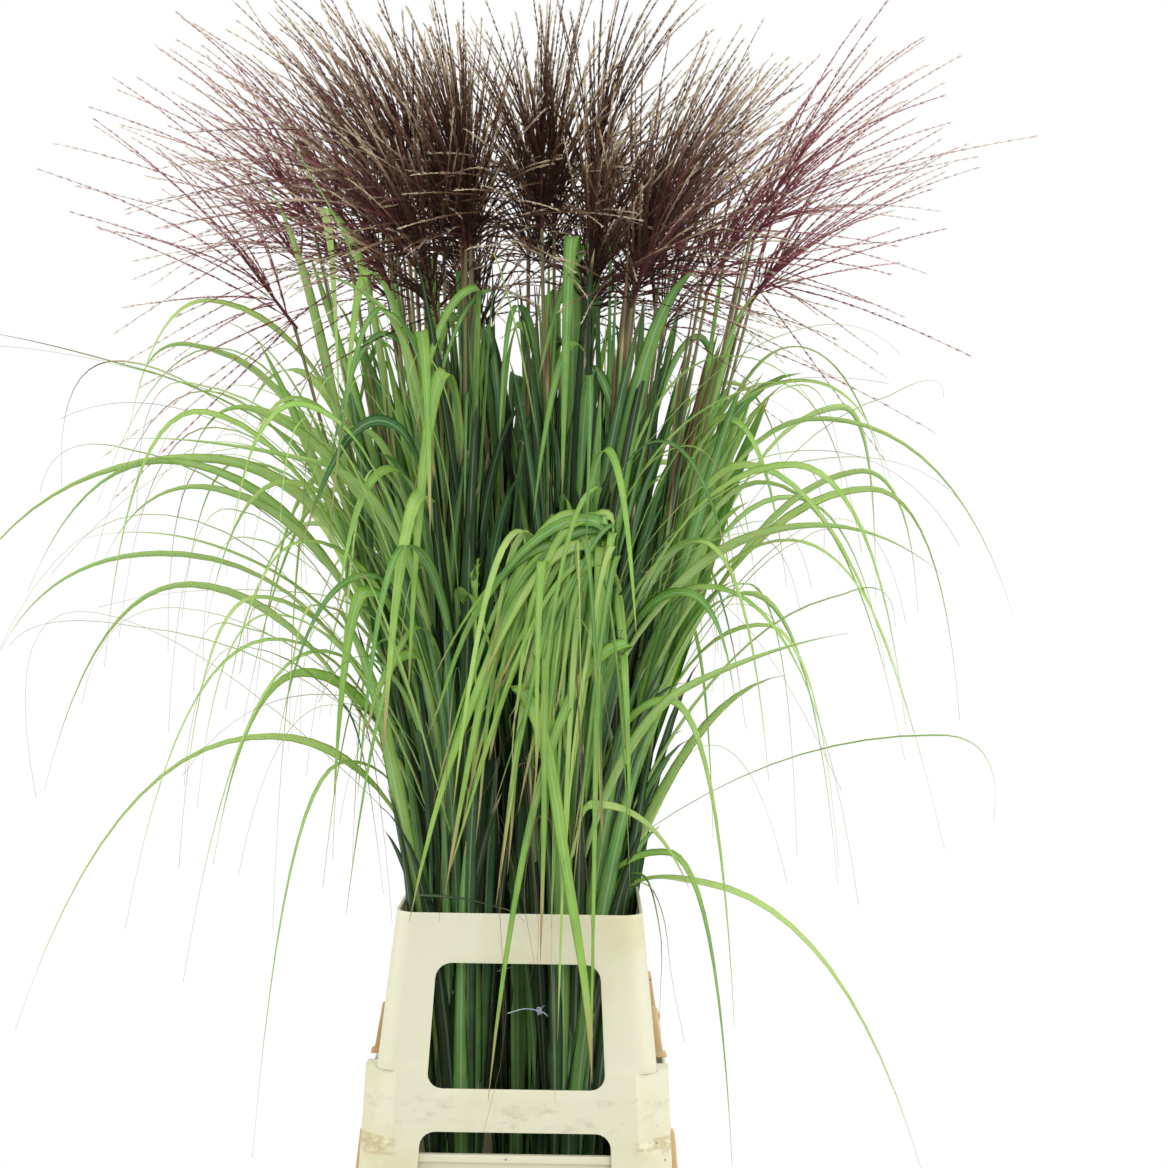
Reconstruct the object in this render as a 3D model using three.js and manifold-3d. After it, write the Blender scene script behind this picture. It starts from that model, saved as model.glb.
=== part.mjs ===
// Cut maiden grass with its plumes, standing in water in a plastic flower bucket with a tall windowed collar.
// Millimetres, +Z up, front towards -Y. The origin is the middle of the bucket's underside.

import * as THREE from 'three';
import { mergeVertices } from 'three/addons/utils/BufferGeometryUtils.js';
import Module from 'manifold-3d';

const wasm = await Module();
wasm.setup();

// Bucket and collar
const wall = 3;
const farOut = 300;
const clearance = 0.3;
const bucketHeight = 308;
const bucketBase = [122.5, 172.5];
const bucketMouth = [137, 184];
const bucketLip = 4;
const bucketLipDrop = 8;
const bucketFloor = 4;
const bucketCorner = 34;
const ledgeHeight = 240;
const ledgeThick = 6;
const collarFoot = [156, 200];
const collarStep = [149, 188];
const collarShoulder = [137.5, 186];
const collarRim = [121.5, 171.5];
const collarStepHeight = 388;
const collarRimHeight = 540;
const collarCorner = 24;
const blockHeight = 76;
const blockChamfer = 33;
const blockProud = 1.5;
const blockTuck = 4;
const blockSlant = 9;
const upperWindow = { low: 372, high: 492, corner: 15, front: [87, 80], side: [134, 126] };
const lowerWindow = { low: 262, high: 331, corner: 14, front: [96, 92], side: [142, 138] };
const ribPlace = 100;
const ribThick = 6;
const ribHeight = 52;
const ribReach = [6, 9];
const ribPadReach = 3;
const ribPad = 6;
const lowRibLift = 20;
const waterHeight = 75;

// Stems: each bunch keeps to its own sector of the plan, so that no two bunches cross
const culmsInBunch = 9;
const culmFootRing = 24;
const culmTieRing = 5.2;
const culmRadius = [4, 4, 3.6, 3.1, 2.2];
const culmTop = [1105, 1262];
const culmSpreadPower = 1.15;
const culmLift = 25;
const tieHeight = 440;
const tieInner = 11.2;
const tieOuter = 13;
const tieWidth = 12;
const wellRadius = 32;
const sectorApex = [0, 10];
const bunches = [
  { name: 'front_left', from: -155, to: -100, foot: [-62, -75], head: [-85, -120], spread: [45, 60] },
  { name: 'front_right', from: -100, to: -25, foot: [40, -90], head: [65, -130], spread: [70, 60] },
  { name: 'right', from: -25, to: 52, foot: [72, 27], head: [190, 20], spread: [75, 80] },
  { name: 'back', from: 52, to: 128, foot: [0, 105], head: [0, 165], spread: [100, 60] },
  { name: 'left', from: 128, to: 205, foot: [-70, 27], head: [-190, 20], spread: [75, 80] },
];

// Leaves set by hand: stem, height of the node on it, top of the arch, tip and width
const shownLeaves = {
  front_left: [
    { culm: 7, node: 640, top: [-79, -185, 1068], tip: [-109, -210, 750], width: 15 },
    { culm: 5, node: 600, top: [-154, -115, 975], tip: [-188, -130, 585], width: 12 },
    { culm: 6, node: 500, top: [-154, -175, 853], tip: [-181, -190, 650], width: 16 },
    { culm: 8, node: 800, top: [-48, -185, 1150], tip: [-108, -190, 1001], width: 10 },
  ],
  front_right: [
    { culm: 6, node: 700, top: [42, -205, 1198], tip: [36, -222, 943], width: 15 },
    { culm: 6, node: 610, top: [50, -200, 928], tip: [-30, -222, 694], width: 10 },
    { culm: 7, node: 600, top: [62, -208, 912], tip: [20, -230, 610], width: 10 },
    { culm: 5, node: 650, top: [5, -210, 912], tip: [-30, -224, 760], width: 8 },
    { culm: 7, node: 500, top: [104, -210, 808], tip: [-25, -242, 372], width: 13 },
    { culm: 8, node: 560, top: [72, -212, 900], tip: [72, -242, 387], width: 10 },
    { culm: 7, node: 640, top: [62, -205, 892], tip: [40, -236, 430], width: 9 },
    { culm: 6, node: 560, top: [48, -205, 858], tip: [22, -228, 519], width: 9 },
    { culm: 8, node: 540, top: [143, -140, 750], tip: [213, -160, 431], width: 9 },
    { culm: 8, node: 470, top: [145, -150, 600], tip: [212, -175, 297], width: 8 },
  ],
  right: [
    { culm: 6, node: 640, top: [345, -60, 966], tip: [447, -60, 730], width: 8 },
    { culm: 7, node: 700, top: [228, -65, 988], tip: [428, -90, 600], width: 9 },
    { culm: 8, node: 680, top: [245, 5, 974], tip: [401, 10, 683], width: 8 },
    { culm: 0, node: 720, top: [300, 0, 1042], tip: [512, 0, 837], width: 7 },
    { culm: 6, node: 560, top: [320, -80, 856], tip: [375, -85, 825], width: 8 },
    { culm: 7, node: 590, top: [245, -50, 824], tip: [326, -50, 576], width: 8 },
    { culm: 7, node: 465, top: [270, -90, 775], tip: [284, -92, 778], width: 11 },
    { culm: 6, node: 500, top: [175, -62, 560], tip: [413, -90, 265], width: 12 },
  ],
  back: [
    { culm: 2, node: 620, top: [60, 330, 930], tip: [110, 460, 640], width: 10 },
    { culm: 3, node: 560, top: [-140, 320, 900], tip: [-200, 440, 620], width: 10 },
    { culm: 1, node: 680, top: [150, 300, 1010], tip: [230, 410, 780], width: 9 },
    { culm: 2, node: 500, top: [20, 300, 760], tip: [30, 420, 420], width: 10 },
    { culm: 3, node: 720, top: [-60, 350, 1060], tip: [-90, 500, 860], width: 9 },
    { culm: 4, node: 600, top: [-170, 270, 860], tip: [-220, 330, 520], width: 9 },
    { culm: 0, node: 590, top: [170, 270, 840], tip: [220, 330, 560], width: 9 },
  ],
  left: [
    { culm: 6, node: 850, top: [-329, -45, 1150], tip: [-418, -62, 973], width: 9 },
    { culm: 5, node: 700, top: [-318, -58, 1130], tip: [-327, -60, 1136], width: 10 },
    { culm: 5, node: 640, top: [-340, -65, 1100], tip: [-400, -72, 1060], width: 12 },
    { culm: 4, node: 700, top: [-340, -5, 990], tip: [-610, 0, 826], width: 11 },
    { culm: 6, node: 640, top: [-300, -60, 950], tip: [-431, -80, 880], width: 9 },
    { culm: 5, node: 580, top: [-370, -55, 888], tip: [-541, -60, 786], width: 9 },
    { culm: 4, node: 560, top: [-350, 15, 856], tip: [-510, 20, 636], width: 9 },
    { culm: 6, node: 560, top: [-275, -72, 845], tip: [-348, -90, 568], width: 9 },
    { culm: 5, node: 500, top: [-255, -80, 802], tip: [-396, -110, 508], width: 10 },
    { culm: 6, node: 520, top: [-218, -66, 838], tip: [-254, -84, 509], width: 9 },
    { culm: 5, node: 470, top: [-213, -55, 790], tip: [-343, -80, 451], width: 9 },
    { culm: 4, node: 480, top: [-270, -60, 702], tip: [-519, -60, 396], width: 8 },
    { culm: 6, node: 460, top: [-186, -58, 676], tip: [-269, -85, 275], width: 9 },
    { culm: 6, node: 900, top: [-216, -62, 1245], tip: [-196, -60, 1026], width: 16 },
    { culm: 5, node: 880, top: [-300, -58, 1300], tip: [-307, -60, 1311], width: 9 },
  ],
};

// Leaves set by rule: one on every so many stems, with the ranges that each measure is drawn from
const leafKinds = [
  { every: 1, node: [465, 560], rise: [330, 560], out: [25, 75], width: [15, 19] },
  { every: 2, node: [480, 640], rise: [300, 520], out: [20, 90], width: [14, 18] },
  { every: 2, node: [560, 720], rise: [220, 400], out: [90, 230], fall: [60, 200], drop: [90, 330], width: [9, 12] },
  { every: 3, node: [760, 930], rise: [150, 260], out: [60, 150], fall: [70, 170], drop: [60, 230], width: [8, 10] },
  { every: 3, node: [150, 260], rise: [420, 560], out: [45, 75], width: [13, 16] },
];
const erectFall = [0, 10];
const erectDrop = [0, 4];
const headingScatter = 0.9;
const headingFan = 1.1;
const leafThick = 1.3;
const leafWidest = 0.35;
const leafBase = 0.25;
const riseControl = 0.3;
const fallControl = 0.7;
const riseSteps = [0, 0.45, 1];
const fallSteps = [1.35, 1.7, 2];
const sectorMargin = 12;
const leafTries = 60;
const openTries = 40;

// Plumes
const plumeAxis = 54;
const plumeRadius = [2, 1.5];
const plumeNod = [0.5, 0.4];
const plumeHeart = 10;
const racemeRadius = 1.5;
const racemeLength = [155, 235];
const racemeLeans = [[24, 38], [15, 26], [7, 15], [0, 5]];
const racemeSteps = [[0, 0.4, 0.75, 1], [0, 0.4, 0.75, 1], [0, 0.5, 1], [0, 0.5, 1]];
const racemeFootRadius = 4;
const racemeRoot = 0.2;
const racemeGap = 0.4;
const racemeTries = 400;
const windReach = 260;

// A number series that is the same on every run
function makeRandom(seed) {
  let state = seed >>> 0;
  return () => {
    state = (state + 0x6d2b79f5) >>> 0;
    let mixed = Math.imul(state ^ (state >>> 15), state | 1);
    mixed ^= mixed + Math.imul(mixed ^ (mixed >>> 7), mixed | 61);
    return ((mixed ^ (mixed >>> 14)) >>> 0) / 4294967296;
  };
}

function between(range, share) {
  return range[0] + (range[1] - range[0]) * share;
}

// Closed solid through a row of rings with equally many points; a ring of one point at an end makes a tip
function loft(rings) {
  const points = rings.flat();
  const triangles = [];
  const count = Math.max(rings[0].length, rings[1].length);
  let low = 0;
  rings.slice(1).forEach((ring, index) => {
    const under = rings[index].length;
    const high = low + under;
    for (let side = 0; side < count; side += 1) {
      const next = (side + 1) % count;
      if (under > 1) triangles.push(low + side, low + next, high + (ring.length > 1 ? next : 0));
      if (ring.length > 1) triangles.push(low + (under > 1 ? side : 0), high + next, high + side);
    }
    low = high;
  });
  for (let corner = 2; corner < count; corner += 1) {
    if (rings[0].length > 1) triangles.push(0, corner, corner - 1);
    if (rings.at(-1).length > 1) triangles.push(low, low + corner - 1, low + corner);
  }
  const geometry = new THREE.BufferGeometry();
  geometry.setAttribute('position', new THREE.Float32BufferAttribute(points.flatMap((p) => p.toArray()), 3));
  geometry.setIndex(signedVolume(points, triangles) < 0 ? triangles.reverse() : triangles);
  return geometry;
}

function signedVolume(points, triangles) {
  let volume = 0;
  for (let index = 0; index < triangles.length; index += 3) {
    const [a, b, c] = [0, 1, 2].map((step) => points[triangles[index + step]]);
    volume += a.dot(new THREE.Vector3().crossVectors(b, c));
  }
  return volume;
}

function toSolid(geometry) {
  geometry.deleteAttribute('normal');
  geometry.deleteAttribute('uv');
  const merged = mergeVertices(geometry, 1e-5);
  const vertProperties = new Float32Array(merged.attributes.position.array);
  const triVerts = new Uint32Array(merged.index.array);
  return new wasm.Manifold(new wasm.Mesh({ numProp: 3, vertProperties, triVerts }));
}

function join(solids) {
  return solids.reduce((whole, piece) => whole.add(piece));
}

function toGeometry(solid) {
  const mesh = solid.getMesh();
  const geometry = new THREE.BufferGeometry();
  geometry.setAttribute('position', new THREE.BufferAttribute(new Float32Array(mesh.vertProperties), 3));
  geometry.setIndex(Array.from(mesh.triVerts));
  const faceted = geometry.toNonIndexed();
  faceted.computeVertexNormals();
  return faceted;
}

// Rectangle of half sizes [x, y] with round corners, seen from above
function outline(half, corner, arcSteps = 2) {
  const points = [];
  [[1, 1], [-1, 1], [-1, -1], [1, -1]].forEach(([signX, signY], quarter) => {
    for (let step = 0; step <= arcSteps; step += 1) {
      const angle = (quarter + step / arcSteps) * Math.PI / 2;
      const x = signX * (half[0] - corner) + corner * Math.cos(angle);
      const y = signY * (half[1] - corner) + corner * Math.sin(angle);
      points.push([x, y]);
    }
  });
  return points;
}

// Upright solid through rounded rectangles given as [height, half sizes]
function tower(levels, corner, arcSteps) {
  return toSolid(loft(levels.map(([height, half]) => (
    outline(half, corner, arcSteps).map(([x, y]) => new THREE.Vector3(x, y, height))))));
}

function grow(half, amount) {
  return half.map((size) => size + amount);
}

function blend(low, high, share) {
  return low.map((size, axis) => size + (high[axis] - size) * share);
}

function bucketHalf(height) {
  return blend(bucketBase, bucketMouth, height / bucketHeight);
}

function makeBucket() {
  const body = tower([[0, bucketBase], [bucketHeight, bucketMouth]], bucketCorner);
  const lipFoot = bucketHeight - bucketLipDrop;
  const lip = tower([
    [lipFoot, grow(bucketHalf(lipFoot), bucketLip)],
    [bucketHeight, grow(bucketMouth, bucketLip)],
  ], bucketCorner + bucketLip);
  const ledgeTop = ledgeHeight - clearance;
  const ledge = tower([[ledgeTop - ledgeThick, collarFoot], [ledgeTop, collarFoot]], bucketCorner);
  const above = bucketHeight + 1;
  const hollow = tower([
    [bucketFloor, grow(bucketHalf(bucketFloor), -wall)],
    [above, grow(bucketHalf(above), -wall)],
  ], bucketCorner - wall);
  return join([body, lip, ledge]).subtract(hollow);
}

// Tapered opening with round corners through both walls across one axis
function windowCut(opening, halfs, along) {
  const ring = [];
  [[1, 1], [-1, 1], [-1, -1], [1, -1]].forEach(([signAcross, signUp], quarter) => {
    const half = signUp > 0 ? halfs[1] : halfs[0];
    const edge = signUp > 0 ? opening.high : opening.low;
    for (let step = 0; step <= 2; step += 1) {
      const angle = (quarter + step / 2) * Math.PI / 2;
      ring.push([
        signAcross * (half - opening.corner) + opening.corner * Math.cos(angle),
        edge - signUp * opening.corner + opening.corner * Math.sin(angle),
      ]);
    }
  });
  const place = along === 'y'
    ? (across, up, deep) => new THREE.Vector3(across, deep, up)
    : (across, up, deep) => new THREE.Vector3(deep, across, up);
  return toSolid(loft([-farOut, farOut].map((deep) => ring.map(([across, up]) => place(across, up, deep)))));
}

// Upright rib with a pad at its foot on a long side of the collar
function makeRib(side, place, foot, wallAt) {
  const levels = [
    [foot, wallAt(foot) + ribReach[1] + ribPadReach],
    [foot + ribPad, wallAt(foot + ribPad) + ribReach[1] + ribPadReach],
    [foot + ribPad + 1, wallAt(foot + ribPad + 1) + ribReach[1]],
    [foot + ribHeight, wallAt(foot + ribHeight) + ribReach[0]],
  ];
  const corners = [[-1, 0], [1, 0], [1, 1], [-1, 1]];
  return toSolid(loft(levels.map(([height, reach]) => corners.map(([edge, end]) => {
    const x = side * (end ? reach : wallAt(height) - wall / 2);
    return new THREE.Vector3(x, place + edge * ribThick / 2, height);
  }))));
}

// Half sizes of the collar's narrow upper tier and of its wide lower one at a height
function upperHalf(height) {
  return blend(collarShoulder, collarRim, (height - collarStepHeight) / (collarRimHeight - collarStepHeight));
}

function lowerHalf(height) {
  return blend(collarFoot, collarStep, (height - ledgeHeight) / (collarStepHeight - ledgeHeight));
}

// Chamfered blocks at the four corners, cut from one ring so that the flat walls between them stay bare
function makeBlocks() {
  const foot = collarStepHeight - blockHeight;
  const ring = tower([
    [foot, grow(lowerHalf(foot), -blockTuck)],
    [foot + blockSlant, grow(lowerHalf(foot + blockSlant), blockProud)],
    [collarStepHeight, grow(collarStep, blockProud)],
  ], blockChamfer, 1);
  const [spanX, spanY] = grow(collarStep, -blockChamfer);
  const bare = [[farOut, spanY], [spanX, farOut]].map((half) => (
    tower([[foot - 1, half], [collarStepHeight + 1, half]], 1, 1)));
  return ring.subtract(bare[0]).subtract(bare[1]);
}

function makeCollar() {
  const sunk = collarStepHeight - 2 * wall;
  const upper = tower([[sunk, upperHalf(sunk)], [collarRimHeight, collarRim]], collarCorner);
  const lower = tower([[ledgeHeight, collarFoot], [collarStepHeight, collarStep]], collarCorner + 2 * wall);
  const ribs = [-1, 1].flatMap((side) => [-ribPlace, ribPlace].flatMap((place) => [
    makeRib(side, place, collarStepHeight - 1, (height) => upperHalf(height)[0]),
    makeRib(side, place, ledgeHeight + lowRibLift, (height) => lowerHalf(height)[0]),
  ]));
  const low = ledgeHeight - 1;
  const high = collarRimHeight + 1;
  const under = collarStepHeight - wall;
  const lowerHollow = tower([
    [low, grow(lowerHalf(low), -wall)],
    [under, grow(lowerHalf(under), -wall)],
  ], collarCorner + wall);
  const upperHollow = tower([
    [sunk, grow(upperHalf(sunk), -wall)],
    [high, grow(upperHalf(high), -wall)],
  ], collarCorner - wall);
  const shell = join([upper, lower, makeBlocks(), ...ribs]).subtract(lowerHollow).subtract(upperHollow);
  return [upperWindow, lowerWindow].reduce((rest, opening) => (
    rest.subtract(windowCut(opening, opening.front, 'y')).subtract(windowCut(opening, opening.side, 'x'))), shell);
}

function roundRing(centre, radius, height, sides) {
  return Array.from({ length: sides }, (_, side) => {
    const angle = (side + 0.5) * 2 * Math.PI / sides;
    return new THREE.Vector3(centre[0] + radius * Math.cos(angle), centre[1] + radius * Math.sin(angle), height);
  });
}

function post(centre, radius, low, high, sides) {
  return toSolid(loft([low, high].map((height) => roundRing(centre, radius, height, sides))));
}

// Water with one plain well round each bunch
function makeWater() {
  const low = bucketFloor + clearance;
  const skin = -wall - clearance;
  const body = tower([[low, grow(bucketHalf(low), skin)], [waterHeight, grow(bucketHalf(waterHeight), skin)]],
    bucketCorner - wall);
  return bunches.reduce((rest, bunch) => rest.subtract(post(bunch.foot, wellRadius, 0, waterHeight + 5, 8)), body);
}

function makeTie(bunch) {
  const low = tieHeight - tieWidth / 2;
  return post(bunch.foot, tieOuter, low, low + tieWidth, 8)
    .subtract(post(bunch.foot, tieInner, low - 1, low + tieWidth + 1, 8));
}

// Stem number index of a bunch: it leaves the tie in its own direction and leans out to its head
function makeCulm(bunch, index, random) {
  const angle = (index + 0.5) * 2 * Math.PI / culmsInBunch;
  const aim = [Math.cos(angle), Math.sin(angle)];
  const share = index % 2 ? 1 : 0.6;
  const top = between(culmTop, random()) + (bunch.name === 'back' ? culmLift : 0);
  const head = bunch.head.map((centre, axis) => centre + bunch.spread[axis] * share * aim[axis]);
  const foot = bucketFloor + clearance;
  const at = (height) => {
    const ring = height < tieHeight
      ? culmTieRing + (culmFootRing - culmTieRing) * (tieHeight - height) / (tieHeight - foot) : culmTieRing;
    const start = bunch.foot.map((centre, axis) => centre + ring * aim[axis]);
    const travel = Math.max(0, (height - tieHeight) / (top - tieHeight)) ** culmSpreadPower;
    const [x, y] = blend(start, head, travel);
    return new THREE.Vector3(x, y, height);
  };
  const heights = [foot, tieHeight, 620, 850, top];
  const spine = heights.map(at);
  const solid = toSolid(tube(spine, culmRadius));
  return { at, top, spine, solid, end: spine.at(-1).clone().sub(spine.at(-2)).normalize() };
}

// Three-sided tube along a spine, with a radius at each point of it; a radius of 0 closes the end
function tube(spine, radii) {
  return loft(spine.map((point, index) => {
    if (radii[index] === 0) return [point];
    const ahead = spine[Math.min(index + 1, spine.length - 1)].clone();
    const along = ahead.sub(spine[Math.max(index - 1, 0)]).normalize();
    const across = new THREE.Vector3(-along.z, 0, along.x).normalize();
    const third = new THREE.Vector3().crossVectors(along, across);
    return [0, 1, 2].map((side) => {
      const angle = side * 2 * Math.PI / 3 - Math.PI / 2;
      return point.clone().addScaledVector(across, radii[index] * Math.cos(angle))
        .addScaledVector(third, radii[index] * Math.sin(angle));
    });
  }));
}

// Middle line of a leaf: up from its node to the top of the arch, then down to the tip, as two curves
function leafPoint(leaf, base, travel) {
  const top = new THREE.Vector3(...leaf.top);
  const tip = new THREE.Vector3(...leaf.tip);
  if (travel <= 1) {
    const control = base.clone().lerp(top, riseControl).setZ(top.z);
    return new THREE.QuadraticBezierCurve3(base, control, top).getPoint(travel);
  }
  const control = top.clone().lerp(tip, fallControl).setZ(top.z);
  return new THREE.QuadraticBezierCurve3(top, control, tip).getPoint(travel - 1);
}

// Three-sided blade, flat above and keeled below, widest at a third of its length and pointed at both ends
function makeLeaf(leaf, base) {
  const erect = leaf.top[2] - leaf.tip[2] < 10;
  const travels = erect ? riseSteps : [...riseSteps, ...fallSteps];
  const spine = travels.map((travel) => leafPoint(leaf, base, travel));
  const aim = new THREE.Vector3(leaf.tip[0] - base.x, leaf.tip[1] - base.y, 0).normalize();
  const across = new THREE.Vector3(-aim.y, aim.x, 0);
  const rings = spine.map((point, index) => {
    const share = travels[index] / travels.at(-1);
    if (share === 0 || share === 1) return [point];
    const along = spine[index + 1].clone().sub(spine[index - 1]).normalize();
    const under = new THREE.Vector3().crossVectors(across, along);
    const half = leaf.width / 2 * (share < leafWidest
      ? leafBase + (1 - leafBase) * share / leafWidest : 1 - 0.6 * (share - leafWidest) / (1 - leafWidest));
    return [
      point.clone().addScaledVector(across, half),
      point.clone().addScaledVector(across, -half),
      point.clone().addScaledVector(under, leafThick),
    ];
  });
  return { spine, solid: toSolid(loft(rings)), half: leaf.width / 2 };
}

function inSector(bunch, x, y) {
  const [dx, dy] = [x - sectorApex[0], y - sectorApex[1]];
  return [[bunch.from, 1], [bunch.to, -1]].every(([degrees, sign]) => {
    const angle = degrees * Math.PI / 180;
    return sign * (Math.cos(angle) * dy - Math.sin(angle) * dx) > sectorMargin;
  });
}

// Capsules stand for what is already there: two ends, a radius, the owner's number and whether it is a root
const capsules = [];

function addCapsules(spine, radius, owner, isRoot = false) {
  spine.slice(1).forEach((point, index) => capsules.push({ a: spine[index], b: point, radius, owner, isRoot }));
}

function segmentGap(a, b, c, d) {
  const u = b.clone().sub(a);
  const v = d.clone().sub(c);
  const w = a.clone().sub(c);
  const [uu, uv, vv, uw, vw] = [u.dot(u), u.dot(v), v.dot(v), u.dot(w), v.dot(w)];
  const bottom = uu * vv - uv * uv;
  const clamp = (value) => Math.min(1, Math.max(0, value));
  let s = bottom > 1e-9 ? clamp((uv * vw - vv * uw) / bottom) : 0;
  const t = clamp((uv * s + vw) / vv);
  s = clamp((uv * t - uw) / uu);
  return w.addScaledVector(u, s).addScaledVector(v, -t).length();
}

function isClear(spine, radius, gap, counts) {
  const near = capsules.filter(counts);
  return spine.slice(1).every((point, index) => near.every((other) => (
    segmentGap(spine[index], point, other.a, other.b) > radius + other.radius + gap)));
}

// The spine without its first stretch, which lies in what it grows from
function withoutRoot(spine, share) {
  return [spine[0].clone().lerp(spine[1], share), ...spine.slice(1)];
}

// Closely spaced points along a spine
function stations(spine) {
  const steps = 6;
  return spine.slice(1).flatMap((point, index) => Array.from({ length: steps + 1 }, (_, step) => (
    spine[index].clone().lerp(point, step / steps))));
}

// Above the collar's rim, inside its mouth or well outside its foot
function clearsCollar(spine, half) {
  return stations(spine).every(({ x, y, z }) => {
    const within = Math.abs(x) < collarRim[0] - wall - half && Math.abs(y) < collarRim[1] - wall - half;
    const outside = Math.abs(x) > collarFoot[0] + half || Math.abs(y) > collarFoot[1] + half;
    return within || outside || z > collarRimHeight + half;
  });
}

// At the tie's height a leaf keeps outside it
function clearsTie(bunch, spine, half) {
  return stations(spine).every(({ x, y, z }) => (
    Math.abs(z - tieHeight) > tieWidth || Math.hypot(x - bunch.foot[0], y - bunch.foot[1]) > tieOuter + half));
}

// A leaf of a kind on a stem: it heads outwards, fanned by its stem's place in the bunch
function drawLeaf(bunch, culm, index, kind, random) {
  const draw = (range) => between(range, random());
  const node = draw(kind.node);
  const outward = Math.atan2(bunch.head[1], bunch.head[0]);
  const own = (index + 0.5) * 2 * Math.PI / culmsInBunch;
  const fanned = kind.node[0] < tieHeight ? own : outward + Math.sin(own - outward) * headingFan;
  const heading = fanned + (random() - 0.5) * headingScatter;
  const out = draw(kind.out);
  const fall = draw(kind.fall ?? erectFall);
  const topHeight = node + draw(kind.rise);
  const beside = culm.at(Math.min(topHeight, culm.top));
  const top = [beside.x + Math.cos(heading) * out, beside.y + Math.sin(heading) * out, topHeight];
  const drop = draw(kind.drop ?? erectDrop);
  const tip = [top[0] + Math.cos(heading) * fall, top[1] + Math.sin(heading) * fall, topHeight - drop];
  return { node, top, tip, width: draw(kind.width) };
}

function addLeaves(bunch, owner, random) {
  const solids = bunch.culms.map((culm) => culm.solid);
  const keep = (blade) => {
    addCapsules(blade.spine.slice(0, 2), blade.half, owner, true);
    addCapsules(blade.spine.slice(1), blade.half, owner);
    solids.push(blade.solid);
  };
  shownLeaves[bunch.name]?.forEach((leaf) => keep(makeLeaf(leaf, bunch.culms[leaf.culm].at(leaf.node))));
  bunch.culms.forEach((culm, index) => leafKinds.forEach((kind) => {
    if (index % kind.every) return;
    for (let attempt = 0; attempt < leafTries; attempt += 1) {
      const leaf = drawLeaf(bunch, culm, index, kind, random);
      const blade = makeLeaf(leaf, culm.at(leaf.node));
      const open = withoutRoot(blade.spine, 0.5);
      const fits = inSector(bunch, leaf.top[0], leaf.top[1]) && inSector(bunch, leaf.tip[0], leaf.tip[1])
        && clearsCollar(blade.spine, blade.half) && clearsTie(bunch, blade.spine, blade.half)
        && isClear(blade.spine, blade.half, clearance, (other) => other.owner !== owner);
      const alone = attempt > openTries
        || isClear(open, 0, 0, (other) => other.owner === owner && !other.isRoot);
      if (fits && alone) {
        keep(blade);
        return;
      }
    }
  }));
  return join(solids);
}

// One plume: racemes grow from the faces of a short three-sided axis, arch over and keep clear of the rest
function makePlume(plume, owner, random) {
  const points = [0, 1, 2, 3].flatMap((level) => {
    const centre = plume.base.clone().addScaledVector(plume.aim, plumeAxis * level / 3);
    const radius = between(plumeRadius, level / 3);
    return [0, 1, 2].map((side) => plume.around(centre, radius, side * 2 * Math.PI / 3));
  });
  const triangles = [0, 2, 1];
  const faces = [];
  for (let low = 0; low < 9; low += 3) {
    for (let side = 0; side < 3; side += 1) {
      const next = (side + 1) % 3;
      triangles.push(low + side, low + next, low + 3 + next);
      faces.push([low + side, low + 3 + next, low + 3 + side]);
    }
  }
  faces.push([9, 10, 11]);
  faces.forEach((face, index) => {
    const raceme = drawRaceme(plume, face.map((corner) => points[corner]), Math.floor(index / 3), owner, random);
    if (raceme) growRaceme(points, triangles, face, raceme);
    else triangles.push(...face);
  });
  const geometry = new THREE.BufferGeometry();
  geometry.setAttribute('position', new THREE.Float32BufferAttribute(points.flatMap((p) => p.toArray()), 3));
  geometry.setIndex(triangles);
  return toSolid(geometry);
}

// Middle line of a raceme: straight away from its face, then bowed over by its weight and the spread of the plume
function drawRaceme(plume, corners, level, owner, random) {
  const start = corners[0].clone().add(corners[1]).add(corners[2]).divideScalar(3);
  const normal = new THREE.Vector3().crossVectors(corners[1].clone().sub(corners[0]), corners[2].clone().sub(corners[0]));
  const away = normal.addScaledVector(plume.aim, -normal.dot(plume.aim));
  const facing = away.length() > 0.1 ? Math.atan2(away.dot(plume.third), away.dot(plume.across)) : 0;
  for (let attempt = 0; attempt < racemeTries; attempt += 1) {
    const turn = facing + (random() - 0.5) * 1.6;
    const lean = between(racemeLeans[level], random()) * Math.PI / 180;
    const length = between(racemeLength, random());
    const bow = 0.15 + 0.3 * random() + 0.5 * random() * Math.hypot(...plume.wind);
    const aim = plume.around(new THREE.Vector3(), Math.sin(lean), turn).addScaledVector(plume.aim, Math.cos(lean));
    const sag = new THREE.Vector3(aim.x + plume.wind[0], aim.y + plume.wind[1], -0.55).normalize();
    const spine = racemeSteps[level].map((share) => start.clone().addScaledVector(aim, share * length)
      .addScaledVector(sag, 0.5 * bow * share * share * length));
    const open = withoutRoot(spine, racemeRoot);
    const counts = (other) => other.owner !== owner || !other.isRoot;
    if (isClear(open.slice(0, 2), racemeFootRadius, racemeGap, counts)
      && isClear(open.slice(1), racemeRadius, racemeGap, counts)) {
      addCapsules(open.slice(0, 2), racemeFootRadius, owner);
      addCapsules(open.slice(1), racemeRadius, owner);
      return { spine, aim };
    }
  }
  return null;
}

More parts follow.
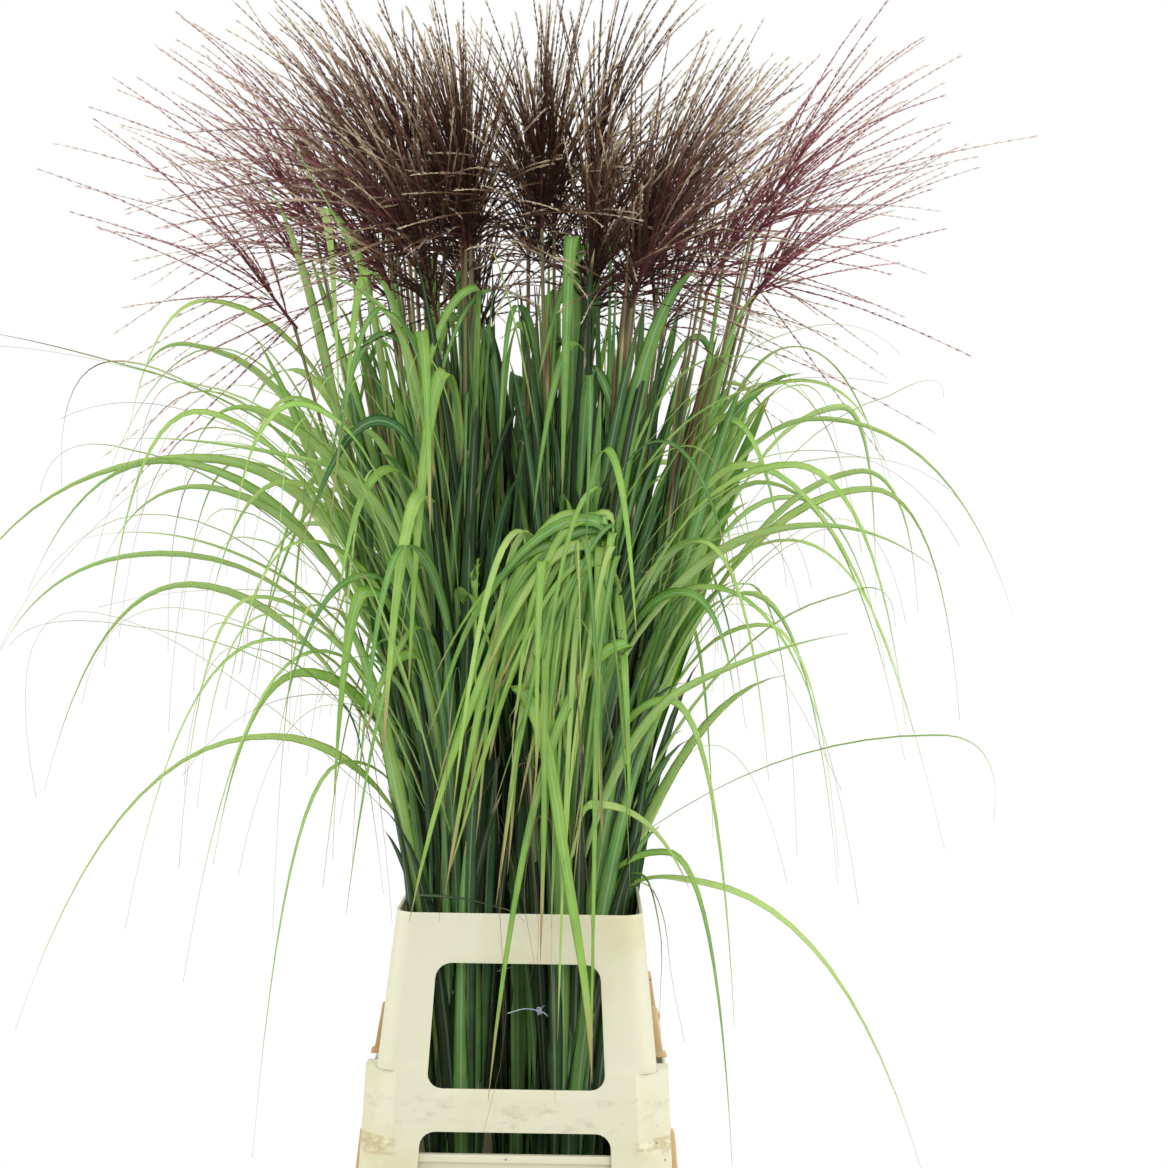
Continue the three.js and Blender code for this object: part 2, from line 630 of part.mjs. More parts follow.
// Three-sided needle on a face: rings that turn with the face's corners, then a point
function growRaceme(points, triangles, face, raceme) {
  const across = new THREE.Vector3(raceme.aim.z, 0, -raceme.aim.x).normalize();
  const third = new THREE.Vector3().crossVectors(raceme.aim, across);
  const first = points[face[0]].clone().sub(raceme.spine[0]);
  const turn = Math.atan2(first.dot(third), first.dot(across));
  let ring = face;
  raceme.spine.slice(1, -1).forEach((centre) => {
    const next = [0, 1, 2].map((side) => {
      const angle = turn + side * 2 * Math.PI / 3;
      return points.push(centre.clone().addScaledVector(across, racemeRadius * Math.cos(angle))
        .addScaledVector(third, racemeRadius * Math.sin(angle))) - 1;
    });
    [0, 1, 2].forEach((side) => {
      const after = (side + 1) % 3;
      triangles.push(ring[side], ring[after], next[after], ring[side], next[after], next[side]);
    });
    ring = next;
  });
  const tip = points.push(raceme.spine.at(-1)) - 1;
  [0, 1, 2].forEach((side) => triangles.push(ring[side], ring[(side + 1) % 3], tip));
}

// Where a plume stands: on its stem's end, nodding outwards, with its share of the spread
function placePlume(culm) {
  const top = culm.spine.at(-1);
  const wind = [top.x, top.y].map((place) => Math.max(-1, Math.min(1, place / windReach)));
  const aim = culm.end.clone().add(new THREE.Vector3(plumeNod[0] * wind[0], plumeNod[1] * wind[1], 0)).normalize();
  const across = new THREE.Vector3(aim.z, 0, -aim.x).normalize();
  const third = new THREE.Vector3().crossVectors(aim, across);
  const around = (centre, radius, angle) => centre.clone().addScaledVector(across, radius * Math.cos(angle))
    .addScaledVector(third, radius * Math.sin(angle));
  const lift = clearance + culmRadius.at(-1) * Math.hypot(aim.x - culm.end.x, aim.y - culm.end.y);
  return { base: top.clone().addScaledVector(culm.end, lift), aim, across, third, around, wind };
}

const model = new THREE.Group();

function addPart(name, solid, colour, roughness) {
  const material = new THREE.MeshStandardMaterial({ color: colour, roughness, metalness: 0 });
  const mesh = new THREE.Mesh(toGeometry(solid), material);
  mesh.name = name;
  model.add(mesh);
}

const random = makeRandom(11);
addPart('bucket', makeBucket(), 0xe9e4cf, 0.45);
addPart('collar', makeCollar(), 0xe9e4cf, 0.45);
addPart('water', makeWater(), 0x9fb3a6, 0.1);
bunches.forEach((bunch) => {
  bunch.culms = Array.from({ length: culmsInBunch }, (_, index) => makeCulm(bunch, index, random));
});
const plumes = bunches.flatMap((bunch) => bunch.culms.map(placePlume));
plumes.forEach((plume, index) => {
  const heart = [plume.base, plume.base.clone().addScaledVector(plume.aim, plumeAxis + plumeHeart)];
  addCapsules(heart, plumeHeart, bunches.length + index, true);
});
bunches.forEach((bunch, number) => {
  bunch.culms.forEach((culm) => addCapsules(culm.spine.slice(1), culmRadius[2], number, true));
});
bunches.forEach((bunch, number) => {
  addPart(`leafy_bunch_${bunch.name}`, addLeaves(bunch, number, random), 0x4f8048, 0.6);
  addPart(`bunch_tie_${bunch.name}`, makeTie(bunch), 0xc9d6e6, 0.5);
});
plumes.forEach((plume, index) => {
  const name = `plume_${String(index + 1).padStart(2, '0')}`;
  addPart(name, makePlume(plume, bunches.length + index, random), 0x6b4a3c, 0.8);
});

export default model;
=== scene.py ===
import math

import bpy
import numpy as np
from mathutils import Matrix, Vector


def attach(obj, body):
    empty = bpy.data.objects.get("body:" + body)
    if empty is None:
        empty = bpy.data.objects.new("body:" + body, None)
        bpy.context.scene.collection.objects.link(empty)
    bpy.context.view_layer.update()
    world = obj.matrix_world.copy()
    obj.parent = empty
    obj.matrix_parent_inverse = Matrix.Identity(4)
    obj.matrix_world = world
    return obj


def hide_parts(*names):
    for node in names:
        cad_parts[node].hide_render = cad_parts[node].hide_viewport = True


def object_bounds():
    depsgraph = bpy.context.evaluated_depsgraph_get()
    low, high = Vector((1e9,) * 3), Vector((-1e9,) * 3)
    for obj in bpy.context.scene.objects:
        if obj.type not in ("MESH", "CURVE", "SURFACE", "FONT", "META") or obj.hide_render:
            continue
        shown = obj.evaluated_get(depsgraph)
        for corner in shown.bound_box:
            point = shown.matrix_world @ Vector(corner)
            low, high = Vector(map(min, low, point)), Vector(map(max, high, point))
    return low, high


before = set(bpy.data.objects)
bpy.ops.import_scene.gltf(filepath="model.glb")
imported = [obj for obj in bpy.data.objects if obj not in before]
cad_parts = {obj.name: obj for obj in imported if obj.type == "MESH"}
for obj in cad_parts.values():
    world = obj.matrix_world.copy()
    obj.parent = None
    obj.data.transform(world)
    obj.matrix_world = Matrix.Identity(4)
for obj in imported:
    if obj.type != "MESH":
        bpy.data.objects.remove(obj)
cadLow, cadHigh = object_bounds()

# Cut maiden grass with its plumes, in a plastic flower bucket with a tall windowed collar.
# Lengths are millimetres until a mesh is made, +Z up, the photograph is taken from -Y.

metresPerMm = 0.001
up = np.array([0.0, 0.0, 1.0])
boxLow = np.array(cadLow) / metresPerMm
boxHigh = np.array(cadHigh) / metresPerMm
foliageGap = 0.5
anyAngle = (0, 6.3)


# Small helpers for numbers

# Value at a share of the way from the first to the second
def between(span, share):
    return span[0] + (span[1] - span[0]) * share


# Vectors divided by their length
def unit(vectors):
    return vectors / np.maximum(np.linalg.norm(vectors, axis=-1, keepdims=True), 1e-12)


# 0 below low, 1 above high, and an S-shaped cubic between them
def ease(low, high, value):
    share = np.clip((value - low) / (high - low), 0, 1)
    return share * share * (3 - 2 * share)


# Helpers that put arrays into meshes

# Quads of a grid of rows by columns whose corners are numbered row by row, its last column joined to its
# first
def ringFaces(rows, columns):
    row, column = np.meshgrid(np.arange(rows - 1), np.arange(columns), indexing="ij")
    after = (column + 1) % columns
    quads = np.stack([row * columns + column, row * columns + after,
                      (row + 1) * columns + after, (row + 1) * columns + column], -1)
    return quads.reshape(-1, 4)


# The same with the two faces that close its ends
def tubeFaces(rows, columns):
    ends = np.array([np.arange(columns)[::-1], np.arange(columns) + (rows - 1) * columns])
    return ringFaces(rows, columns), ends


# The same faces for many like meshes whose corners follow each other
def repeatFaces(faces, corners, copies):
    return (faces[None] + np.arange(copies)[:, None, None] * corners).reshape(-1, faces.shape[1])


# Rows of values for the corners of a mesh, from arrays that are spread over all of them
def perCorner(shape, *values):
    return np.stack([np.broadcast_to(value, shape) for value in values], -1).reshape(-1, len(values))


# One set of corners, faces, UVs and looks out of several surfaces
def joinSurfaces(surfaces):
    joined = {key: np.concatenate([surface[key] for surface in surfaces])
              for key in surfaces[0] if key != "faceSets"}
    firsts = np.cumsum([0, *(len(surface["points"]) for surface in surfaces)])
    joined["faceSets"] = [(faces + first, number) for surface, first in zip(surfaces, firsts)
                          for faces, number in surface["faceSets"]]
    return joined


# Mesh from corners in millimetres and arrays of triangles and quads, each with the number of its material
def putMesh(name, points, faceSets, materials, smooth=True, blade=None, look=None):
    mesh = bpy.data.meshes.new(name)
    faceSets = [(np.asarray(faces), number) for faces, number in faceSets if len(faces)]
    loops = np.concatenate([faces.ravel() for faces, _ in faceSets])
    sizes = np.concatenate([np.full(len(faces), faces.shape[1]) for faces, _ in faceSets])
    numbers = np.concatenate([np.full(len(faces), number) for faces, number in faceSets])
    mesh.vertices.add(len(points))
    mesh.vertices.foreach_set("co", (np.asarray(points) * metresPerMm).astype(np.float32).ravel())
    mesh.loops.add(len(loops))
    mesh.loops.foreach_set("vertex_index", loops.astype(np.int32))
    mesh.polygons.add(len(sizes))
    mesh.polygons.foreach_set("loop_start", (np.cumsum(sizes) - sizes).astype(np.int32))
    mesh.polygons.foreach_set("material_index", numbers.astype(np.int32))
    mesh.polygons.foreach_set("use_smooth", np.full(len(sizes), smooth))
    if blade is not None:
        mesh.uv_layers.new(name="blade").data.foreach_set("uv", blade[loops].astype(np.float32).ravel())
    if look is not None:
        shades = mesh.color_attributes.new("look", "FLOAT_COLOR", "POINT")
        four = np.concatenate([look, np.ones((len(look), 1))], 1)
        shades.data.foreach_set("color", four.astype(np.float32).ravel())
    mesh.update(calc_edges=True)
    mesh.validate()
    for material in materials:
        mesh.materials.append(material)
    piece = bpy.data.objects.new(name, mesh)
    bpy.context.scene.collection.objects.link(piece)
    return piece


# A piece on the only body, in the place of the nodes that it stands for
def place(piece, slotName, *nodes):
    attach(piece, "root")
    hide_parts(*nodes)
    print(piece.name, len(piece.data.polygons), "faces")


# Helpers for materials

# Linear colour from the six hex digits that a colour picker shows
def tone(digits):
    parts = [int(digits[start:start + 2], 16) / 255 for start in (0, 2, 4)]
    return tuple(part / 12.92 if part <= 0.04045 else ((part + 0.055) / 1.055) ** 2.4 for part in parts)


def newMaterial(name):
    material = bpy.data.materials.new(name)
    material.use_nodes = True
    material.node_tree.nodes.clear()
    return material, material.node_tree


def addNode(tree, kind, sockets=None, **options):
    node = tree.nodes.new("ShaderNode" + kind)
    for key, value in options.items():
        setattr(node, key, value)
    for key, value in (sockets or {}).items():
        if isinstance(value, bpy.types.NodeSocket):
            tree.links.new(value, node.inputs[key])
        else:
            node.inputs[key].default_value = value
    return node


def calc(tree, operation, first, second=0.0, clamp=False):
    return addNode(tree, "Math", {0: first, 1: second}, operation=operation, use_clamp=clamp).outputs[0]


def plus(tree, first, second, clamp=False):
    return calc(tree, "ADD", first, second, clamp)


def times(tree, first, second, clamp=False):
    return calc(tree, "MULTIPLY", first, second, clamp)


# One less the value
def rest(tree, value):
    return calc(tree, "SUBTRACT", 1.0, value)


# A value from 0 to 1 turned into a swing of a size about 0
def swing(tree, value, size):
    return times(tree, calc(tree, "SUBTRACT", value, 0.5), size)


# Smooth step of a value from 0 at low to 1 at high
def stepNode(tree, value, low, high):
    node = addNode(tree, "MapRange", {"Value": value, "From Min": low, "From Max": high},
                   interpolation_type="SMOOTHSTEP")
    return node.outputs["Result"]


def mixNode(tree, share, first, second, blend="MIX"):
    node = addNode(tree, "Mix", data_type="RGBA", blend_type=blend)
    for number, value in ((0, share), (6, first), (7, second)):
        if isinstance(value, bpy.types.NodeSocket):
            tree.links.new(value, node.inputs[number])
        else:
            node.inputs[number].default_value = value if number == 0 else (*value, 1.0)
    return node.outputs[2]


def noiseNode(tree, vector, scale, detail=3.0, roughness=0.55, stretch=None):
    if stretch:
        vector = addNode(tree, "Mapping", {"Vector": vector, "Scale": stretch}).outputs[0]
    sockets = {"Vector": vector, "Scale": scale, "Detail": detail, "Roughness": roughness}
    return addNode(tree, "TexNoise", sockets).outputs["Fac"]


# Colour ramp through stops, each a place and six hex digits
def rampNode(tree, value, stops):
    ramp = addNode(tree, "ValToRGB", {0: value})
    while len(ramp.color_ramp.elements) < len(stops):
        ramp.color_ramp.elements.new(0.5)
    for element, (position, digits) in zip(ramp.color_ramp.elements, stops):
        element.position = position
        element.color = (*tone(digits), 1)
    return ramp.outputs[0]


def bumpNode(tree, height, strength, distance):
    return addNode(tree, "Bump", {"Height": height, "Strength": strength, "Distance": distance}).outputs[0]


# Place on the object in metres
def spotNode(tree):
    return addNode(tree, "TexCoord").outputs["Object"]


# A foliage piece's own UV map, its two parts and the three values of its look attribute
def foliageNodes(tree):
    uv = addNode(tree, "UVMap", uv_map="blade").outputs[0]
    across, along, _ = addNode(tree, "SeparateXYZ", {0: uv}).outputs
    look = addNode(tree, "Attribute", attribute_name="look").outputs["Color"]
    return uv, across, along, *addNode(tree, "SeparateColor", {0: look}).outputs


# Surface with a share of light that shines through it
def glowing(tree, share, shader, glow):
    return addNode(tree, "MixShader", {0: share, 1: shader.outputs[0], 2: glow.outputs[0]})


def finishMaterial(tree, shader):
    addNode(tree, "OutputMaterial", {"Surface": shader.outputs[0]})


# The stems, leaves and racemes stand where the model has them, by the same rules and the same number series

stems = {
    "seed": 11,
    "inBunch": 9,
    "foot": 4.3,
    "footRing": 24,
    "tieRing": 5.2,
    "tieHeight": 440,
    "tieWidth": 12,
    "tieOuter": 13,
    "top": (1105, 1262),
    "backLift": 25,
    "spreadPower": 1.15,
    "innerSpread": 0.6,
    "heights": (4.3, 440, 620, 850),
    "thickness": 3.6,
    "sectorApex": np.array([0, 10]),
    "sectorMargin": 12,
    "bunches": [
        {"name": "front_left", "sides": (-155, -100), "foot": (-62, -75),
         "head": (-85, -120), "spread": (45, 60)},
        {"name": "front_right", "sides": (-100, -25), "foot": (40, -90),
         "head": (65, -130), "spread": (70, 60)},
        {"name": "right", "sides": (-25, 52), "foot": (72, 27),
         "head": (190, 20), "spread": (75, 80)},
        {"name": "back", "sides": (52, 128), "foot": (0, 105),
         "head": (0, 165), "spread": (100, 60)},
        {"name": "left", "sides": (128, 205), "foot": (-70, 27),
         "head": (-190, 20), "spread": (75, 80)},
    ],
}

# Leaves given one by one: stem, height of the node on it, top of the arch, tip and width
shownLeaves = {
    "front_left": [
        (7, 640, (-79, -185, 1068), (-109, -210, 750), 15),
        (5, 600, (-154, -115, 975), (-188, -130, 585), 12),
        (6, 500, (-154, -175, 853), (-181, -190, 650), 16),
        (8, 800, (-48, -185, 1150), (-108, -190, 1001), 10),
    ],
    "front_right": [
        (6, 700, (42, -205, 1198), (36, -222, 943), 15),
        (6, 610, (50, -200, 928), (-30, -222, 694), 10),
        (7, 600, (62, -208, 912), (20, -230, 610), 10),
        (5, 650, (5, -210, 912), (-30, -224, 760), 8),
        (7, 500, (104, -210, 808), (-25, -242, 372), 13),
        (8, 560, (72, -212, 900), (72, -242, 387), 10),
        (7, 640, (62, -205, 892), (40, -236, 430), 9),
        (6, 560, (48, -205, 858), (22, -228, 519), 9),
        (8, 540, (143, -140, 750), (213, -160, 431), 9),
        (8, 470, (145, -150, 600), (212, -175, 297), 8),
    ],
    "right": [
        (6, 640, (345, -60, 966), (447, -60, 730), 8),
        (7, 700, (228, -65, 988), (428, -90, 600), 9),
        (8, 680, (245, 5, 974), (401, 10, 683), 8),
        (0, 720, (300, 0, 1042), (512, 0, 837), 7),
        (6, 560, (320, -80, 856), (375, -85, 825), 8),
        (7, 590, (245, -50, 824), (326, -50, 576), 8),
        (7, 465, (270, -90, 775), (284, -92, 778), 11),
        (6, 500, (175, -62, 560), (413, -90, 265), 12),
    ],
    "back": [
        (2, 620, (60, 330, 930), (110, 460, 640), 10),
        (3, 560, (-140, 320, 900), (-200, 440, 620), 10),
        (1, 680, (150, 300, 1010), (230, 410, 780), 9),
        (2, 500, (20, 300, 760), (30, 420, 420), 10),
        (3, 720, (-60, 350, 1060), (-90, 500, 860), 9),
        (4, 600, (-170, 270, 860), (-220, 330, 520), 9),
        (0, 590, (170, 270, 840), (220, 330, 560), 9),
    ],
    "left": [
        (6, 850, (-329, -45, 1150), (-418, -62, 973), 9),
        (5, 700, (-318, -58, 1130), (-327, -60, 1136), 10),
        (5, 640, (-340, -65, 1100), (-400, -72, 1060), 12),
        (4, 700, (-340, -5, 990), (-610, 0, 826), 11),
        (6, 640, (-300, -60, 950), (-431, -80, 880), 9),
        (5, 580, (-370, -55, 888), (-541, -60, 786), 9),
        (4, 560, (-350, 15, 856), (-510, 20, 636), 9),
        (6, 560, (-275, -72, 845), (-348, -90, 568), 9),
        (5, 500, (-255, -80, 802), (-396, -110, 508), 10),
        (6, 520, (-218, -66, 838), (-254, -84, 509), 9),
        (5, 470, (-213, -55, 790), (-343, -80, 451), 9),
        (4, 480, (-270, -60, 702), (-519, -60, 396), 8),
        (6, 460, (-186, -58, 676), (-269, -85, 275), 9),
        (6, 900, (-216, -62, 1245), (-196, -60, 1026), 16),
        (5, 880, (-300, -58, 1300), (-307, -60, 1311), 9),
    ],
}

# Leaves set by rule, one on every so many stems, with the span that each measure is drawn from
leafKinds = [
    {"every": 1, "node": (465, 560), "rise": (330, 560), "out": (25, 75), "width": (15, 19)},
    {"every": 2, "node": (480, 640), "rise": (300, 520), "out": (20, 90), "width": (14, 18)},
    {"every": 2, "node": (560, 720), "rise": (220, 400), "out": (90, 230),
     "fall": (60, 200), "drop": (90, 330), "width": (9, 12)},
    {"every": 3, "node": (760, 930), "rise": (150, 260), "out": (60, 150),
     "fall": (70, 170), "drop": (60, 230), "width": (8, 10)},
    {"every": 3, "node": (150, 260), "rise": (420, 560), "out": (45, 75), "width": (13, 16)},
]

leafRules = {
    "erectFall": (0, 10),
    "erectDrop": (0, 4),
    "scatter": 0.9,
    "fan": 1.1,
    "riseControl": 0.3,
    "fallControl": 0.7,
    "riseSteps": (0, 0.45, 1),
    "fallSteps": (1.35, 1.7, 2),
    "leastFall": 10,
    "chordPoints": 7,
    "clearance": 0.3,
    "tries": 60,
    "openTries": 40,
    "root": 0.5,
    "collarFoot": (156, 200),
    "collarMouth": (118.5, 168.5),
    "collarTop": 540,
}

plumeRules = {
    "axis": 54,
    "radius": (2, 1.5),
    "nod": (0.5, 0.4),
    "lift": (0.3, 2.2),
    "heart": 10,
    "racemeRadius": 1.5,
    "footRadius": 4,
    "length": (155, 235),
    "leans": ((24, 38), (15, 26), (7, 15), (0, 5)),
    "steps": ((0, 0.4, 0.75, 1), (0, 0.4, 0.75, 1), (0, 0.5, 1), (0, 0.5, 1)),
    "bow": (0.15, 0.3, 0.5),
    "turnSpan": 1.6,
    "leastAway": 0.1,
    "root": 0.2,
    "gap": 0.4,
    "tries": 400,
    "reach": 460,
    "windReach": 260,
    "sag": -0.55,
}


# A number series that is the same on every run: a counter whose bits are mixed by two odd products
def makeSeries(seed):
    full = 0xFFFFFFFF
    state = seed

    def draw():
        nonlocal state
        state = (state + 0x6D2B79F5) & full
        mixed = ((state ^ (state >> 15)) * (state | 1)) & full
        mixed ^= (mixed + (((mixed ^ (mixed >> 7)) * (mixed | 61)) & full)) & full
        return (mixed ^ (mixed >> 14)) / 4294967296

    return draw


# Middle of a stem at each height: it leaves the tie in its own direction and leans out to its head,
# the share of the lean being a power of the share of the height above the tie
def stemAt(bunch, culm, heights):
    heights = np.asarray(heights, float)
    tie, foot = stems["tieHeight"], stems["foot"]
    below = stems["tieRing"] + (stems["footRing"] - stems["tieRing"]) * (tie - heights) / (tie - foot)
    ring = np.where(heights < tie, below, stems["tieRing"])
    start = np.array(bunch["foot"]) + ring[..., None] * culm["aim"]
    travel = np.maximum(0, (heights - tie) / (culm["top"] - tie)) ** stems["spreadPower"]
    flat = start + (culm["head"] - start) * travel[..., None]
    return np.concatenate([flat, heights[..., None]], -1)


# A stem of the ring in the tie: every other one leans out less
def makeCulm(bunch, index, draw):
    angle = (index + 0.5) * 2 * math.pi / stems["inBunch"]
    aim = np.array([math.cos(angle), math.sin(angle)])
    top = between(stems["top"], draw()) + (stems["backLift"] if bunch["name"] == "back" else 0)
    spread = np.array(bunch["spread"]) * (1 if index % 2 else stems["innerSpread"])
    head = np.array(bunch["head"]) + spread * aim
    culm = {"index": index, "angle": angle, "aim": aim, "top": top, "head": head}
    culm["spine"] = stemAt(bunch, culm, (*stems["heights"], top))
    culm["end"] = unit(culm["spine"][-1] - culm["spine"][-2])
    return culm


# Quadratic curve from start to end with one control point
def curve(start, control, end, share):
    return (1 - share) ** 2 * start + 2 * share * (1 - share) * control + share ** 2 * end


# Points along leaves, from 0 at the node over 1 at the top of the arch to 2 at the tip: two quadratic
# curves, each with its control point at the height of the arch, mixed by arc with the one parabola through
# base, top and tip, whose control point is twice the top less the mean of base and tip
def leafLine(base, top, tip, travel, arc=0.0):
    travel = np.asarray(travel)[..., None]
    first = base + (top - base) * leafRules["riseControl"]
    second = top + (tip - top) * leafRules["fallControl"]
    first[..., 2] = second[..., 2] = top[..., 2]
    climb = curve(base, first, top, np.minimum(travel, 1))
    descent = curve(top, second, tip, np.maximum(travel - 1, 0))
    thrown = curve(base, 2 * top - (base + tip) / 2, tip, travel / 2)
    return between((np.where(travel <= 1, climb, descent), thrown), np.asarray(arc)[..., None])


# The few points that stand for a leaf in the solids; a leaf that hardly falls ends at its top
def leafSpine(leaf):
    steps = leafRules["riseSteps"]
    if leaf["top"][2] - leaf["tip"][2] >= leafRules["leastFall"]:
        steps += leafRules["fallSteps"]
    return leafLine(leaf["base"][None], leaf["top"][None], leaf["tip"][None], steps)


# Between the two upright planes that bound a bunch's room, by more than the margin
def inSector(bunch, points, margin):
    dx, dy = np.moveaxis(points[..., :2] - stems["sectorApex"], -1, 0)
    inside = np.ones(dx.shape, bool)
    for degrees, sign in zip(bunch["sides"], (1, -1)):
        angle = math.radians(degrees)
        inside &= sign * (math.cos(angle) * dy - math.sin(angle) * dx) > margin
    return inside


# Above the collar's rim, inside its mouth or well outside its foot
def clearsCollar(points, half):
    x, y, z = np.abs(points[..., 0]), np.abs(points[..., 1]), points[..., 2]
    mouth, foot = leafRules["collarMouth"], leafRules["collarFoot"]
    within = (x < mouth[0] - half) & (y < mouth[1] - half)
    outside = (x > foot[0] + half) | (y > foot[1] + half)
    return (within | outside | (z > leafRules["collarTop"] + half)).all(-1)


# At the tie's height a leaf keeps outside it
def clearsTie(bunch, points, half):
    beside = np.hypot(points[..., 0] - bunch["foot"][0], points[..., 1] - bunch["foot"][1])
    away = np.abs(points[..., 2] - stems["tieHeight"]) > stems["tieWidth"]
    return (away | (beside > stems["tieOuter"] + half)).all(-1)


# Points spread evenly along each chord of a spine
def chordPoints(spine):
    share = np.linspace(0, 1, leafRules["chordPoints"])[:, None, None]
    return (spine[:-1] + (spine[1:] - spine[:-1]) * share).reshape(-1, 3)


# Capsules stand for what is there: two ends, a radius, an owner and whether it is a root
capsules = {"from": [], "to": [], "radius": [], "owner": [], "root": []}


def addCapsules(spine, radius, owner, root=False):
    for start, end in zip(spine[:-1], spine[1:]):
        for key, value in zip(capsules, (start, end, radius, owner, root)):
            capsules[key].append(value)


# Shortest distance between each chord of a spine and each capsule's line, by clamped projection
def chordGaps(spine, start, end):
    a, b = spine[:-1, None], spine[1:, None]
    u, v, w = b - a, (end - start)[None], a - start[None]
    uu, vv = (u * u).sum(-1), (v * v).sum(-1)
    uv, uw, vw = (u * v).sum(-1), (u * w).sum(-1), (v * w).sum(-1)
    bottom = uu * vv - uv * uv
    steep = bottom > 1e-9
    s = np.where(steep, np.clip((uv * vw - vv * uw) / np.where(steep, bottom, 1), 0, 1), 0)
    t = np.clip((uv * s + vw) / vv, 0, 1)
    s = np.clip((uv * t - uw) / uu, 0, 1)
    return np.linalg.norm(w + u * s[..., None] - v * t[..., None], axis=-1)


# True where every chord, as thick as radius, keeps the gap from every capsule
def isClear(spine, radius, gap, near):
    if not len(near["radius"]):
        return True
    return bool((chordGaps(spine, near["from"], near["to"]) > radius + near["radius"] + gap).all())


# The capsules that a rule keeps, as arrays
def capsulesWhere(rule):
    arrays = {key: np.array(values) for key, values in capsules.items()}
    kept = rule(arrays)
    return {key: values[kept] for key, values in arrays.items()}


# The spine without its first stretch, which lies in what it grows from
def withoutRoot(spine, share):
    return np.concatenate([spine[:1] + (spine[1:2] - spine[:1]) * share, spine[1:]])


# Direction in which a bunch leans out
def outwardAngle(bunch):
    return math.atan2(bunch["head"][1], bunch["head"][0])


# A leaf of a kind on a stem: it heads outwards, fanned by its stem's place in the bunch
def drawLeaf(bunch, culm, kind, draw):
    node = between(kind["node"], draw())
    outward = outwardAngle(bunch)
    low = kind["node"][0] < stems["tieHeight"]
    fanned = culm["angle"] if low else outward + math.sin(culm["angle"] - outward) * leafRules["fan"]
    heading = fanned + (draw() - 0.5) * leafRules["scatter"]
    aim = np.array([math.cos(heading), math.sin(heading), 0])
    out = between(kind["out"], draw())
    fall = between(kind.get("fall", leafRules["erectFall"]), draw())
    topHeight = node + between(kind["rise"], draw())
    beside = stemAt(bunch, culm, min(topHeight, culm["top"]))
    top = np.array([beside[0], beside[1], topHeight]) + aim * out
    drop = between(kind.get("drop", leafRules["erectDrop"]), draw())
    tip = top + aim * fall - up * drop
    base = stemAt(bunch, culm, node)
    return {"base": base, "top": top, "tip": tip, "width": between(kind["width"], draw()), "shown": 0.0}


# The listed leaves, then on each stem the first drawn leaf of each kind that fits: clear of what the
# other bunches have and, unless many tries have failed, of its own bunch's leaves
def growLeaves(bunch, owner, draw):
    def keep(leaf):
        spine = leafSpine(leaf)
        addCapsules(spine[:2], leaf["width"] / 2, owner, True)
        addCapsules(spine[1:], leaf["width"] / 2, owner)
        bunch["leaves"].append(leaf)

    bunch["leaves"] = []
    for index, node, top, tip, width in shownLeaves[bunch["name"]]:
        base = stemAt(bunch, bunch["culms"][index], node)
        keep({"base": base, "top": np.array(top, float), "tip": np.array(tip, float),
              "width": width, "shown": 1.0})
    for culm in bunch["culms"]:
        for kind in leafKinds:
            if culm["index"] % kind["every"]:
                continue
            others = capsulesWhere(lambda c: c["owner"] != owner)
            own = capsulesWhere(lambda c: (c["owner"] == owner) & ~c["root"])
            for attempt in range(leafRules["tries"]):
                leaf = drawLeaf(bunch, culm, kind, draw)
                spine, half = leafSpine(leaf), leaf["width"] / 2
                ends, line = np.array([leaf["top"], leaf["tip"]]), chordPoints(spine)
                if (inSector(bunch, ends, stems["sectorMargin"]).all()
                        and clearsCollar(line, half) and clearsTie(bunch, line, half)
                        and isClear(spine, half, leafRules["clearance"], others)
                        and (attempt > leafRules["openTries"]
                             or isClear(withoutRoot(spine, leafRules["root"]), 0, 0, own))):
                    keep(leaf)
                    break


# Where a plume stands: on its stem's end, nodding outwards, with its share of the spread
def placePlume(culm):
    rules = plumeRules
    top = culm["spine"][-1]
    wind = np.clip(top[:2] / rules["windReach"], -1, 1)
    aim = unit(culm["end"] + np.array([rules["nod"][0] * wind[0], rules["nod"][1] * wind[1], 0]))
    across = unit(np.array([aim[2], 0, -aim[0]]))
    lift = rules["lift"][0] + rules["lift"][1] * math.hypot(*(aim - culm["end"])[:2])
    return {"base": top + culm["end"] * lift, "aim": aim, "across": across, "third": np.cross(aim, across),
            "wind": wind, "racemes": []}


# Point on a circle round a plume's direction
def aroundPlume(plume, centre, radius, angle):
    return centre + plume["across"] * radius * math.cos(angle) + plume["third"] * radius * math.sin(angle)


# Corners of the ten faces of a plume's short three-sided axis, from which its racemes grow
def plumeFaces(plume):
    rings = []
    for level in range(4):
        centre = plume["base"] + plume["aim"] * plumeRules["axis"] * level / 3
        radius = between(plumeRules["radius"], level / 3)
        rings += [aroundPlume(plume, centre, radius, side * 2 * math.pi / 3) for side in range(3)]
    rings = np.array(rings)
    faces = [[low + side, low + 3 + (side + 1) % 3, low + 3 + side]
             for low in (0, 3, 6) for side in range(3)]
    return rings[np.array([*faces, [9, 10, 11]])]


# A raceme's middle line: straight along aim, then bowed towards sag by the square of the share travelled
def racemeLine(start, aim, sag, bow, length, share):
    return start + (aim * share + sag * 0.5 * bow * share * share) * length


